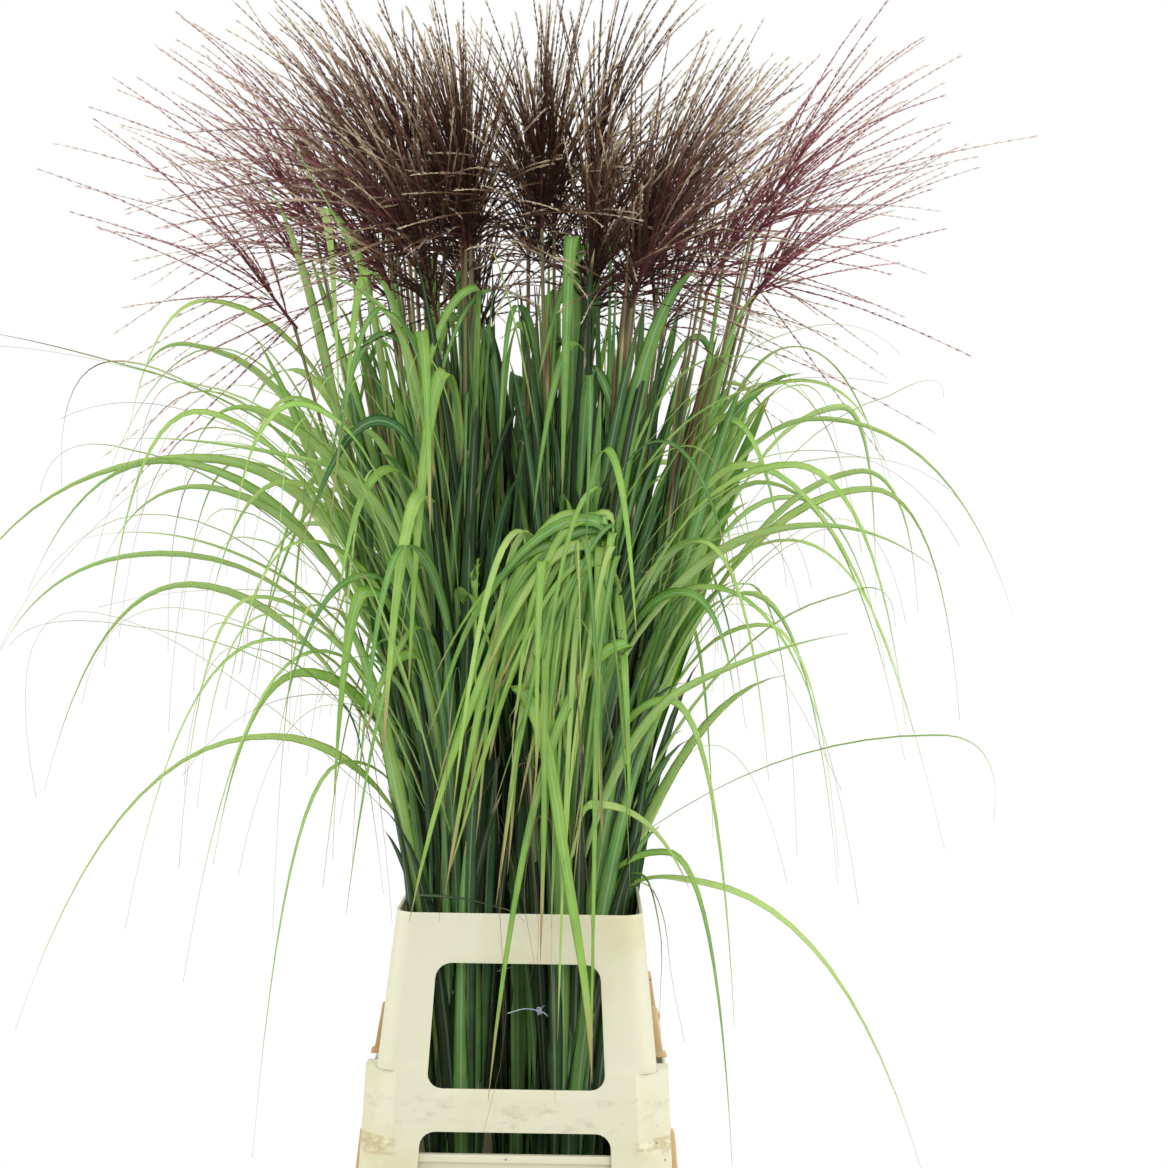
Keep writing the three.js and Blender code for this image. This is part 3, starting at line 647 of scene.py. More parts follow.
# On each face of the plume's axis, the first drawn raceme that is clear of everything near; a face that
# looks along the axis has no side of its own
def growRacemes(plume, owner, draw):
    rules = plumeRules
    stiff, loose, windy = rules["bow"]

    def isNear(c):
        middle = (c["from"] + c["to"]) / 2
        size = np.linalg.norm(c["to"] - c["from"], axis=1) / 2
        close = np.linalg.norm(middle - plume["base"], axis=1) < rules["reach"] + size
        return close & ((c["owner"] != owner) | ~c["root"])

    near = capsulesWhere(isNear)
    for index, corners in enumerate(plumeFaces(plume)):
        level = index // 3
        start = corners.sum(0) / 3
        normal = np.cross(corners[1] - corners[0], corners[2] - corners[0])
        away = normal - plume["aim"] * normal.dot(plume["aim"])
        facing = 0.0
        if np.linalg.norm(away) > rules["leastAway"]:
            facing = math.atan2(away.dot(plume["third"]), away.dot(plume["across"]))
        share = np.array(rules["steps"][level])[:, None]
        for _ in range(rules["tries"]):
            turn = facing + (draw() - 0.5) * rules["turnSpan"]
            lean = math.radians(between(rules["leans"][level], draw()))
            length = between(rules["length"], draw())
            bow = stiff + loose * draw() + windy * draw() * math.hypot(*plume["wind"])
            aim = aroundPlume(plume, np.zeros(3), math.sin(lean), turn) + plume["aim"] * math.cos(lean)
            sag = unit(np.array([*(aim[:2] + plume["wind"]), rules["sag"]]))
            spine = withoutRoot(racemeLine(start, aim, sag, bow, length, share), rules["root"])
            if (isClear(spine[:2], rules["footRadius"], rules["gap"], near)
                    and isClear(spine[1:], rules["racemeRadius"], rules["gap"], near)):
                radii = [rules["footRadius"]] + [rules["racemeRadius"]] * (len(spine) - 2)
                for number, radius in enumerate(radii):
                    addCapsules(spine[number:number + 2], radius, owner)
                near["from"] = np.concatenate([near["from"], spine[:-1]])
                near["to"] = np.concatenate([near["to"], spine[1:]])
                near["radius"] = np.concatenate([near["radius"], radii])
                plume["racemes"].append((start, aim, sag, bow, length))
                break


# All stems, leaves and racemes, drawn in the model's order
def growGrass():
    draw = makeSeries(stems["seed"])
    bunches = stems["bunches"]
    for bunch in bunches:
        bunch["culms"] = [makeCulm(bunch, index, draw) for index in range(stems["inBunch"])]
        bunch["plumes"] = [placePlume(culm) for culm in bunch["culms"]]
    plumes = [plume for bunch in bunches for plume in bunch["plumes"]]
    for number, plume in enumerate(plumes):
        crown = plume["base"] + plume["aim"] * (plumeRules["axis"] + plumeRules["heart"])
        addCapsules(np.array([plume["base"], crown]), plumeRules["heart"], len(bunches) + number, True)
    for number, bunch in enumerate(bunches):
        for culm in bunch["culms"]:
            addCapsules(culm["spine"][1:], stems["thickness"], number, True)
    for number, bunch in enumerate(bunches):
        growLeaves(bunch, number, draw)
    for number, plume in enumerate(plumes):
        growRacemes(plume, len(bunches) + number, draw)
    print("grown:", sum(len(b["leaves"]) for b in bunches), "leaves,",
          sum(len(p["racemes"]) for p in plumes), "racemes")


# Collar and bucket

collar = {
    "wall": 3,
    "foot": (156, 200),
    "step": (149, 188),
    "shoulder": (137.5, 186),
    "rim": (121.5, 171.5),
    "footHeight": 240,
    "stepHeight": 388,
    "rimHeight": 540,
    "upperCorner": 24,
    "lowerCorner": 30,
    "chamfer": 33,
    "chamferFoot": (311, 322),
    "lowerRows": (250, 316.5, 345, 358),
    "upperRows": (400, 420, 445, 505, 520, 534),
    "cornerSteps": 8,
    "sideColumns": 6,
    "middleColumns": 10,
    "arcSteps": 6,
    "upperWindow": {"low": 372, "high": 492, "corner": 15, "front": (87, 80), "side": (134, 126)},
    "lowerWindow": {"low": 262, "high": 331, "corner": 14, "front": (96, 92), "side": (142, 138)},
    "edge": 0.9,
    "rowMargin": 0.01,
    "ribPlace": 100,
    "ribHalf": 3,
    "ribHeight": 52,
    "ribReach": (9, 6),
    "ribPad": (3, 6),
    "ribSection": np.array([(-1, 0), (1, 0), (1, 0.9), (0.75, 1), (-0.75, 1), (-1, 0.9)]),
    "ribSink": 1.5,
    "ribSoft": 0.8,
    "ribTop": (1.5, 1.2),
    "ribEdge": 0.5,
    "ribFeet": (260, 387),
}

bucket = {
    "wall": 3,
    "height": 308,
    "base": (122.5, 172.5),
    "mouth": (137, 184),
    "lip": 4,
    "lipDrop": 8,
    "floor": 4,
    "corner": 34,
    "cornerSteps": 8,
    "ledge": (233.7, 239.7),
    "ledgeHalf": (156, 200),
    "underside": ((3, 14), (0, 10), (0, 0)),
    "outerRows": (30, 80, 140, 190),
    "neckRow": 270,
    "innerRows": (240, 140, 60),
    "edge": 0.9,
}

edges = {"segments": 2, "bevelDegrees": 35, "sharpDegrees": 30}


# Half sizes part of the way up a straight wall
def wallHalf(low, high, share):
    return [between((a, b), share) for a, b in zip(low, high)]


# Half sizes of the collar's lower and upper tier at a height
def lowerHalf(height):
    share = (height - collar["footHeight"]) / (collar["stepHeight"] - collar["footHeight"])
    return wallHalf(collar["foot"], collar["step"], share)


def upperHalf(height):
    share = (height - collar["stepHeight"]) / (collar["rimHeight"] - collar["stepHeight"])
    return wallHalf(collar["shoulder"], collar["rim"], share)


# Half width of a window at a height: its slanted side, less the round corners' cut
def windowEdge(opening, key, height):
    low, high, corner = opening["low"], opening["high"], opening["corner"]
    wide = between(opening[key], (height - low) / (high - low))
    deep = min(height - low, high - height, corner)
    return wide - corner + math.sqrt(max(corner ** 2 - (corner - deep) ** 2, 0))


# Heights of a window's rows, close together in its round corners
def windowRows(opening):
    turns = np.linspace(0, math.pi / 2, collar["arcSteps"])
    arc = opening["corner"] * (1 - np.cos(turns))
    return [*(opening["low"] + arc), *(opening["high"] - arc)[::-1]]


# Rows of the collar from foot to rim: height, half sizes, corner radius and how far the corner is a chamfer
def collarRows():
    foot, step, rim = collar["footHeight"], collar["stepHeight"], collar["rimHeight"]
    openings = windowRows(collar["upperWindow"])
    below = [foot, *collar["lowerRows"], *collar["chamferFoot"], *windowRows(collar["lowerWindow"])]
    rows = []
    for height in sorted(below + [level for level in openings if level < step]):
        flat = float(ease(*collar["chamferFoot"], height))
        corner = between((collar["lowerCorner"], collar["chamfer"]), flat)
        rows.append((height, lowerHalf(height), corner, flat))
    rows.append((step, collar["step"], collar["chamfer"], 1.0))
    for height in sorted([step, *collar["upperRows"], rim] + [level for level in openings if level > step]):
        rows.append((height, upperHalf(height), collar["upperCorner"], 0.0))
    return rows


# How far the windows' columns stand from a panel's middle in a row, also in the rows between windows
def columnEdge(key, height):
    marks, widths = [], []
    for opening in (collar["lowerWindow"], collar["upperWindow"]):
        if opening["low"] <= height <= opening["high"]:
            return windowEdge(opening, key, height)
        for mark in (opening["low"], opening["high"]):
            marks.append(mark)
            widths.append(windowEdge(opening, key, mark))
    return float(np.interp(height, marks, widths))


# One row of the collar seen from above, anticlockwise from the front's left: on each panel the columns
# slide with the windows' edges, and each corner is an arc that turns into a straight chamfer
def collarRing(row):
    height, half, corner, flat = row
    points = []
    turns = np.linspace(0, 1, collar["cornerSteps"] + 1)[1:-1]
    angles = (turns - 1) * math.pi / 2
    for panel in range(4):
        long, deep, key = (*half, "front") if panel % 2 == 0 else (*half[::-1], "side")
        end, edge = long - corner, columnEdge(key, height)
        outer = np.linspace(-end, -edge, collar["sideColumns"])
        inner = np.linspace(-edge, edge, collar["middleColumns"] + 1)[1:-1]
        along = np.concatenate([outer, inner, -outer[::-1]])
        straight = np.stack([along, np.full(len(along), -deep)], -1)
        arc = np.stack([end + corner * np.cos(angles), corner - deep + corner * np.sin(angles)], -1)
        chord = np.stack([end + corner * turns, corner * turns - deep], -1)
        turn = panel * math.pi / 2
        spin = np.array([[math.cos(turn), math.sin(turn)], [-math.sin(turn), math.cos(turn)]])
        points.append(np.concatenate([straight, between((arc, chord), flat)]) @ spin)
    points = np.concatenate(points)
    return np.concatenate([points, np.full((len(points), 1), height)], -1)


# Level ring round a rectangle with round corners
def roundedRing(half, corner, height):
    angles = np.linspace(0, math.pi / 2, bucket["cornerSteps"] + 1)
    points = []
    for quarter, (signX, signY) in enumerate(((1, 1), (-1, 1), (-1, -1), (1, -1))):
        turn = angles + quarter * math.pi / 2
        points.append(np.stack([signX * (half[0] - corner) + corner * np.cos(turn),
                                signY * (half[1] - corner) + corner * np.sin(turn)], -1))
    points = np.concatenate(points)
    return np.concatenate([points, np.full((len(points), 1), height)], -1)


# Bevels a piece's edges, applies its modifiers to its mesh and marks the edges that still turn sharply
def finishEdges(piece, width):
    bevel = piece.modifiers.new("edges", "BEVEL")
    bevel.width = width * metresPerMm
    bevel.segments = edges["segments"]
    bevel.limit_method = "ANGLE"
    bevel.angle_limit = math.radians(edges["bevelDegrees"])
    mesh = bpy.data.meshes.new_from_object(piece.evaluated_get(bpy.context.evaluated_depsgraph_get()))
    piece.modifiers.clear()
    piece.data = mesh
    mesh.set_sharp_from_angle(angle=math.radians(edges["sharpDegrees"]))


# The collar's rows joined by quads, less the quads in its windows, given the wall's thickness inwards
def makeCollar(plastic):
    rows = collarRows()
    points = np.concatenate([collarRing(row) for row in rows])
    columns = len(points) // len(rows)
    faces = ringFaces(len(rows), columns)
    row, column = faces[:, 0] // columns, faces[:, 0] % columns % (columns // 4)
    firstMiddle = collar["sideColumns"] - 1
    middle = (column >= firstMiddle) & (column < firstMiddle + collar["middleColumns"])
    heights = np.array([values[0] for values in rows])
    windowed = np.zeros(len(faces), bool)
    margin = collar["rowMargin"]
    for opening in (collar["upperWindow"], collar["lowerWindow"]):
        above = heights[row] >= opening["low"] - margin
        windowed |= above & (heights[row + 1] <= opening["high"] + margin)
    used, faces = np.unique(faces[~(middle & windowed)], return_inverse=True)
    piece = putMesh("collar_shell", points[used], [(faces.reshape(-1, 4), 0)], [plastic])
    shell = piece.modifiers.new("wall", "SOLIDIFY")
    shell.thickness = collar["wall"] * metresPerMm
    shell.offset = -1
    shell.use_even_offset = True
    finishEdges(piece, collar["edge"])
    place(piece, "cream_plastic", "collar")


# Small upright rib on a long side, wider at its foot: its section, which starts inside the wall, is
# repeated at levels of height, pad and how far the edges draw in
def ribSurface(side, spot, foot, tierHalf):
    pad, padHeight = collar["ribPad"]
    top, soft, sink = collar["ribHeight"], collar["ribSoft"], collar["ribSink"]
    topDrop, topDraw = collar["ribTop"]
    levels = [(0, pad, soft), (soft, pad, 0), (padHeight - soft, pad, 0), (padHeight, pad, soft),
              (padHeight + 1, 0, 0), (top - topDrop, 0, 0), (top, 0, topDraw)]
    u, v = collar["ribSection"].T
    rings = []
    for lift, extra, draw in levels:
        height = foot + lift
        reach = between(collar["ribReach"], lift / top) + extra - draw
        x = side * (tierHalf(height)[0] - sink + v * (reach + sink))
        y = spot + u * (collar["ribHalf"] - draw / 2) * side
        rings.append(np.stack([x, y, np.full(len(x), height)], -1))
    return np.concatenate(rings), len(levels), len(u)


# Two ribs on each tier of each long side
def makeRibs(plastic):
    ribs = []
    for side in (-1, 1):
        for spot in (-collar["ribPlace"], collar["ribPlace"]):
            ribs.append(ribSurface(side, spot, collar["ribFeet"][1], upperHalf))
            ribs.append(ribSurface(side, spot, collar["ribFeet"][0], lowerHalf))
    points, levels, corners = ribs[0]
    faceSets = [(repeatFaces(faces[:, ::-1], len(points), len(ribs)), 0)
                for faces in tubeFaces(levels, corners)]
    piece = putMesh("collar_ribs", np.concatenate([rib[0] for rib in ribs]), faceSets, [plastic])
    finishEdges(piece, collar["ribEdge"])
    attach(piece, "root")


# The bucket's profile, carried round its rectangle: underside, outer wall, ledge, lip, inner wall and floor
def makeBucket(plastic):
    height, corner, wall, lip = (bucket[key] for key in ("height", "corner", "wall", "lip"))

    def half(level, grow=0.0):
        return [size + grow for size in wallHalf(bucket["base"], bucket["mouth"], level / height)]

    ledgeLow, ledgeHigh = bucket["ledge"]
    lipFoot = height - bucket["lipDrop"]
    rows = [(level, half(0, -inset), corner - inset) for level, inset in bucket["underside"]]
    rows += [(level, half(level), corner) for level in (*bucket["outerRows"], ledgeLow)]
    rows += [(level, bucket["ledgeHalf"], corner) for level in bucket["ledge"]]
    rows += [(level, half(level), corner) for level in (ledgeHigh, bucket["neckRow"], lipFoot)]
    rows += [(level, half(level, lip), corner + lip) for level in (lipFoot, height)]
    rows += [(level, half(level, -wall), corner - wall)
             for level in (height, *bucket["innerRows"], bucket["floor"])]
    rings = [roundedRing(size, bend, level) for level, size, bend in rows]
    faceSets = [(faces, 0) for faces in tubeFaces(len(rings), len(rings[0]))]
    piece = putMesh("bucket_shell", np.concatenate(rings), faceSets, [plastic])
    finishEdges(piece, bucket["edge"])
    place(piece, "cream_plastic", "bucket")


# Twine round each bunch

twine = {
    "radius": 1.05,
    "ring": 12.0,
    "turns": 4.15,
    "climb": 9.6,
    "waves": ((7, 0.25), (3, 0.3)),
    "stations": 190,
    "sides": 9,
    "strands": 3,
    "strandTwist": 60,
    "groove": 0.16,
    "sizes": {"wraps": 1.0, "knot": 0.75, "tail": 0.55, "stub": 0.6, "neck": 0.8},
    "knotSize": 2.1,
    "knotShape": (0.75, 0.6, 0.5),
    "knotStations": 70,
    "knotLift": 1.5,
    "longTail": 30,
    "tailWave": (2.5, 4),
    "tailLift": 2,
    "shortTail": 11,
    "stubDrop": 6,
    "stubLift": 1.5,
    "tailStations": 26,
    "neckStations": 20,
    "seenBunch": "front_right",
    "seenKnot": np.array([20.0, -118.0, 435.0]),
    "seenDegrees": -155,
    "seenTail": np.array([-1.0, -0.1, 0]),
    "seenMargin": 7,
    "seenReach": 60,
}


# Tube along a path: its section is a circle with a shallow groove for each strand, which turn with the path
def twineTube(path, size):
    radius, twist = twine["radius"] * size, twine["strandTwist"] * len(path) / twine["stations"]
    along = unit(np.gradient(path, axis=0))
    across = unit(np.cross(along, np.where(np.abs(along[:, 2:]) < 0.9, up, np.array([1.0, 0, 0]))))
    third = np.cross(along, across)
    share = np.linspace(0, 1, len(path))[:, None]
    turn = np.linspace(0, 2 * math.pi, twine["sides"], endpoint=False)[None]
    ridges = np.abs(np.cos(twine["strands"] / 2 * (turn + share * twist)))
    thick = radius * (1 - twine["groove"] + twine["groove"] * ridges)[..., None]
    ring = across[:, None] * np.cos(turn)[..., None] + third[:, None] * np.sin(turn)[..., None]
    points = path[:, None] + ring * thick
    return {"points": points.reshape(-1, 3),
            "blade": perCorner(points.shape[:2], turn / (2 * math.pi), share),
            "faceSets": [(faces, 0) for faces in tubeFaces(len(path), twine["sides"])]}


# A bunch's tie: wraps that climb a helix round the stems, a trefoil knot, and from it a long wavy tail and
# a short stub; where the knot is seen, a neck leads out to it
def makeTie(bunch, material):
    seen = bunch["name"] == twine["seenBunch"]
    outwards = outwardAngle(bunch)
    knotAngle = math.radians(twine["seenDegrees"]) if seen else outwards + math.pi
    tailAim = twine["seenTail"] if seen else np.array([-math.sin(outwards), math.cos(outwards), 0])
    aim = np.array([math.cos(knotAngle), math.sin(knotAngle), 0])
    side = np.array([-aim[1], aim[0], 0])
    centre = np.array([*bunch["foot"], stems["tieHeight"]])
    atRing = centre + aim * (twine["ring"] + twine["knotLift"])
    knotCentre = twine["seenKnot"] if seen else atRing

    share = np.linspace(0, 1, twine["stations"])
    angle = knotAngle + 2 * math.pi * twine["turns"] * share
    (ringWaves, ringSwing), (climbWaves, climbSwing) = twine["waves"]
    ring = twine["ring"] + ringSwing * np.sin(ringWaves * angle)
    climb = twine["climb"] * (share - 0.5) + climbSwing * np.sin(climbWaves * angle)
    loop = np.linspace(0, 2 * math.pi, twine["knotStations"])[:, None]
    wide, high, deep = twine["knotShape"]
    trefoil = (side * ((2 + np.cos(3 * loop)) * np.cos(2 * loop)) * wide
               + up * ((2 + np.cos(3 * loop)) * np.sin(2 * loop)) * high
               + aim * np.sin(3 * loop) * deep)
    step = np.linspace(0, 1, twine["tailStations"])[:, None]
    tailRise, tailWaves = twine["tailWave"]
    paths = {
        "wraps": centre + np.stack([ring * np.cos(angle), ring * np.sin(angle), climb], -1),
        "knot": knotCentre + twine["knotSize"] * trefoil,
        "tail": (knotCentre + tailAim * twine["longTail"] * step
                 + up * tailRise * np.sin(step * tailWaves) + aim * twine["tailLift"] * step),
        "stub": (knotCentre - tailAim * twine["shortTail"] * step
                 - up * twine["stubDrop"] * step ** 2 + aim * twine["stubLift"] * step),
    }
    if seen:
        paths["neck"] = np.linspace(atRing, knotCentre, twine["neckStations"])
    tubes = [twineTube(line, twine["sizes"][key]) for key, line in paths.items()]
    piece = putMesh("twine_" + bunch["name"], materials=[material], **joinSurfaces(tubes))
    place(piece, "tie_thread", "bunch_tie_" + bunch["name"])


# Leafy bunches

blades = {
    "seed": 5,
    "archStations": 26,
    "uprightStations": 14,
    "slimArchStations": 21,
    "slimUprightStations": 10,
    "slimWidth": (7.6, 4.2),
    "section": np.array([(1, 0), (0.5, 0), (0, 0), (-0.5, 0), (-1, 0), (-0.5, 0.4), (0, 1.0), (0.5, 0.4)]),
    "slimSection": np.array([(1, 0), (0, 0), (-1, 0), (0, 1.0)]),
    "thickness": 0.9,
    "fullThickness": 4,
    "leastThickness": 0.25,
    "widest": 0.36,
    "baseWidth": 0.34,
    "tipWidth": 0.14,
    "shownWidth": 1.18,
    "uprightReach": 15,
    "uprightPower": 0.8,
    "archPower": (0.6, 1.3),
    "archPowerAt": (110, 300),
    "foldBase": 0.7,
    "foldTip": 0.18,
    "foldEnd": 0.4,
    "foldPower": 1.5,
    "ripple": 0.05,
    "rippleWaves": (2.5, 5),
    "rippleShift": 0.25,
    "facing": (0.25, 1.0),
    "facingFrom": (0.02, 0.5),
    "heldFrom": -140,
    "heldFacing": 0.92,
    "heldTwist": 0.25,
    "leastSlope": 0.05,
    "twist": 0.5,
    "twistPower": 1.5,
    "rollWave": 0.5,
    "rollWaves": (0.4, 1.1),
    "rollWaveFrom": (0.1, 0.4),
    "sway": 0.05,
    "curlFrom": 0.72,
    "curlTurn": 7,
    "curlSide": 0.3,
    # Pale tint towards which leaves far out are pulled: painted backlight
    "sideTint": 1.15,
    "sidePull": 0.62,
    "sideTintAt": (110, 240),
    "sideReach": 250,
    "sideCeiling": 1130,
    "edgeMargin": 3,
    "collarGap": 1,
    "checkStations": 15,
    "triesEach": 14,
    "seenArc": 0.2,
    "placed": {
        "wide": 12.5,
        "tints": (0.3, 0.65),
        "shownTints": (0.72, 0.85),
        "tint": (-0.25, 0.2),
        "driedShare": 0.4,
        "dry": (0, 0.1),
        "heldDry": 0.3,
        "arc": (0, 0.6),
        "sway": 0.04,
        "shownSway": 0.3,
    },
    # Besides spreading at random, each kind's tint span paints light and shade: low tints darken the
    # upright leaves deep in the core as painted shade, and high tints brighten the arched outer leaves as
    # painted backlight
    "kinds": [
        {"count": 28, "node": (445, 660), "rise": (240, 560), "out": (2, 110), "width": (15, 25),
         "tint": (-0.45, 0.75), "arc": (0.0, 1.0), "dry": (0, 0.06), "round": True},
        {"count": 26, "node": (700, 900), "rise": (240, 345), "out": (2, 75), "width": (9, 15),
         "tint": (-0.2, 0.8), "arc": (0.3, 1.0), "dry": (0, 0.08), "round": True},
        {"count": 28, "node": (680, 940), "rise": (240, 330), "out": (0, 40), "width": (3.4, 7.4),
         "tint": (-0.2, 0.75), "arc": (0.6, 1.0), "dry": (0.0, 0.7), "round": True},
        {"count": 14, "node": (500, 860), "rise": (230, 400), "out": (20, 90), "width": (11, 19),
         "fall": (25, 110), "drop": (60, 260),
         "tint": (0.2, 0.85), "arc": (0, 0.5), "dry": (0, 0.06), "round": True, "share": "hooks"},
        {"count": 32, "node": (40, 300), "rise": (330, 680), "out": (6, 110), "width": (13, 23),
         "tint": (-0.45, 0.6), "arc": (0.2, 1.0), "dry": (0, 0.05), "round": True},
        {"count": 10, "node": (480, 800), "rise": (190, 380), "out": (80, 250), "width": (5, 12),
         "fall": (70, 240), "drop": (-60, 300),
         "tint": (0.35, 1.0), "arc": (0.1, 0.9), "dry": (0, 0.1), "share": "arches"},
        {"count": 34, "node": (520, 960), "rise": (110, 330), "out": (110, 330), "width": (1.0, 3.0),
         "fall": (40, 230), "drop": (-30, 260),
         "tint": (0.25, 1.0), "arc": (0.3, 1.0), "dry": (0.02, 0.5), "share": "arches"},
    ],
    "shares": {
        "all": {"front_left": 1, "front_right": 1, "right": 1, "back": 1.5, "left": 1},
        "hooks": {"front_left": 1, "front_right": 1, "right": 0.4, "back": 0.6, "left": 0.6},
        "arches": {"front_left": 0.55, "front_right": 0.35, "right": 0.2, "back": 0.5, "left": 0.7},
    },
    "companions": {
        "each": {"front_left": 2, "front_right": 2, "right": 0, "back": 1, "left": 0},
        "triesEach": 4,
        "low": 590,
        "slimmest": 10.5,
        "shift": 18,
        "tip": (38, 38 / 3, 60),
        "width": (0.3, 0.9),
        "tint": (-0.3, 0.1),
        "arc": (0, 0.8),
        "dry": (0, 0.12),
    },
    "fountain": {
        "bunch": "front_right",
        "count": 44,
        "culms": (6, 7),
        "node": (600, 690),
        "top": (58, -206, 905),
        "spread": (30, 14, 26),
        "fall": (-140, -10),
        "ahead": (-26, -4),
        "drop": (110, 360),
        "width": (4, 14),
        "tint": (0.5, 1.0),
        "arc": (0.1, 0.9),
        "dry": (0.0, 0.05),
        "curl": (0, 9),
    },
}

# More leaves that the photograph shows: bunch, stem, node, top, tip, width, tint, dried share, curl of the
# tip and power of the taper
seenLeaves = [
    ("front_right", 6, 600, (48, -215, 800), (66, -246, 372), 2.2, 0.2, 0.5, 14, 1.2),
    ("front_right", 7, 560, (30, -214, 760), (36, -240, 375), 2.6, 0.9, 0.1, 4, 1.2),
    ("front_right", 7, 560, (8, -214, 700), (16, -226, 492), 4.0, 0.3, 0.35, 6, 1.2),
    ("front_right", 6, 520, (0, -212, 690), (-28, -248, 322), 1.6, 0.5, 1.2, 22, 1.2),
    ("front_right", 8, 500, (20, -208, 640), (0, -216, 470), 2.2, 0.3, 1.2, 16, 1.2),
    ("front_left", 6, 455, (-100, -168, 556), (8, -186, 534), 4.5, 0.0, 0.12, 3, 1.2),
    ("front_left", 5, 520, (-168, -120, 735), (-123, -182, 530), 2.4, 0.0, 1.3, 0, 1.2),
    ("left", 5, 560, (-190, -70, 738), (-139, -104, 548), 3.4, -0.3, 0.04, 0, 1.2),
    ("right", 6, 470, (122, -60, 566), (152, -66, 386), 3.2, 0.6, 0.25, 8, 1.2),
    ("right", 7, 470, (124, -84, 560), (162, -90, 404), 2.0, 0.6, 0.5, 6, 1.2),
    ("front_right", 6, 640, (30, -214, 850), (-2, -232, 560), 1.2, 0.6, 1.2, 26, 1.2),
    ("front_right", 7, 640, (58, -214, 860), (52, -236, 575), 1.1, 0.6, 1.2, 24, 1.2),
    ("front_right", 7, 600, (10, -212, 820), (-44, -236, 600), 1.2, 0.6, 1.2, 28, 1.2),
    ("front_left", 7, 560, (-30, -190, 720), (-18, -214, 556), 1.2, 0.6, 1.2, 20, 1.2),
    ("front_right", 8, 620, (96, -200, 820), (84, -226, 580), 1.3, 0.5, 1.0, 18, 1.2),
    ("front_right", 6, 600, (-6, -216, 765), (68, -246, 386), 14, 0.8, 0.03, 8, 0.38),
    ("front_right", 7, 620, (24, -216, 850), (23, -240, 503), 9, 0.75, 0.05, 2, 0.42),
    ("front_right", 7, 480, (70, -212, 652), (164, -206, 572), 9, 1.0, 0.04, 0, 0.8),
    ("front_left", 8, 150, (-24, -120, 690), (-22, -122, 686), 17, 0.2, 0.0, 0, 0.8),
    ("front_left", 0, 120, (-2, -100, 640), (0, -102, 637), 12, 0.0, 0.0, 0, 0.8),
]

culms = {
    "sides": 10,
    "nodes": 10,
    "shift": 25,
    "nodeRows": (-2.5, -1, 0, 1, 2.5),
    "evenFrom": 900,
    "leastRise": 0.02,
    "thickness": ((4.3, 3.6), (440, 3.4), (700, 2.4), (1290, 1.5)),
    "nodeGap": 118,
    "nodeFirst": 62,
    "nodeSwell": 0.22,
    "nodeWidth": 3.0,
}


# A bunch's stems as arrays, in the order that which gives
def culmArrays(bunch, which):
    return {key: np.array([culm[key] for culm in bunch["culms"]])[which]
            for key in ("aim", "head", "top", "angle")}


# Some of the leaves, by number or by a mask
def pickLeaves(leaves, which):
    return {key: values[which] for key, values in leaves.items()}


# Upright leaves end at the top of their line
def isUpright(leaves):
    return np.linalg.norm(leaves["tip"] - leaves["top"], axis=1) < blades["uprightReach"]


# Power of a leaf's taper towards its tip: upright leaves are blunt, arched ones finer the further out they
# hang
def taperPower(leaves):
    arched = between(blades["archPower"], ease(*blades["archPowerAt"], np.abs(leaves["tip"][:, 0])))
    return np.where(isUpright(leaves), blades["uprightPower"], arched)


# Stations along each leaf's line: to 2 for an arched leaf, to 1 for an upright one
def leafLines(leaves, stations):
    end = np.where(isUpright(leaves), 1.0, 2.0)
    travel = end[:, None] * np.linspace(0, 1, stations)[None]
    return leafLine(leaves["base"][:, None], leaves["top"][:, None], leaves["tip"][:, None],
                    travel, leaves["arc"][:, None])


# False where a leaf would pass in front of the knot that shows through the window
def showsKnot(line, half):
    knot = twine["seenKnot"]
    beside = (np.abs(line[..., 0] - knot[0]) < half + twine["seenMargin"]) & (line[..., 1] < knot[1] + half)
    return ~(beside & (np.abs(line[..., 2] - knot[2]) < twine["seenReach"])).any(-1)


# The first leaves that stay in their bunch's sector, clear of the collar, the tie, the knot and the box's
# sides, and low where they are far out
def keepFitting(bunch, leaves, count):
    line = leafLines(leaves, blades["checkStations"])
    half = leaves["width"][:, None] / 2
    fits = inSector(bunch, leaves["top"], 0) & inSector(bunch, leaves["tip"], 0)
    fits &= clearsCollar(line, half + blades["collarGap"])
    fits &= clearsTie(bunch, line, half) & showsKnot(line, half)
    margin = blades["edgeMargin"]
    fits &= ((line > boxLow + margin) & (line < boxHigh - margin)).all((1, 2))
    low = (line[..., 2] < blades["sideCeiling"]) | (np.abs(line[..., 0]) < blades["sideReach"])
    return pickLeaves(leaves, np.flatnonzero(fits & low.all(1))[:count])


# The leaves that the solids have too. Those listed one by one in the front bunches keep their line, and the
# others are bent and swayed at random
def dressPlaced(bunch, random):
    rules = blades["placed"]
    placed = {key: np.array([leaf[key] for leaf in bunch["leaves"]]) for key in bunch["leaves"][0]}
    count = len(placed["width"])
    shown, wide = placed["shown"] > 0, placed["width"] > rules["wide"]
    held = shown & (bunch["head"][1] < 0)
    tint = np.where(shown, np.where(wide, *rules["shownTints"]), np.where(wide, *rules["tints"]))
    placed["tint"] = tint + random.uniform(*rules["tint"], count)
    dry = np.where(random.random(count) < rules["driedShare"], random.uniform(*rules["dry"], count), 0.0)
    placed["dry"] = dry * np.where(held, rules["heldDry"], 1.0)
    placed["arc"] = np.where(held, 0.0, 1.0) * random.uniform(*rules["arc"], count)
    sway = np.where(held, 0.0, np.where(shown, rules["shownSway"], 1.0))
    placed["sway"] = sway * random.normal(0, rules["sway"], count)
    placed["curl"] = np.zeros(count)
    placed["power"] = taperPower(placed)
    return placed
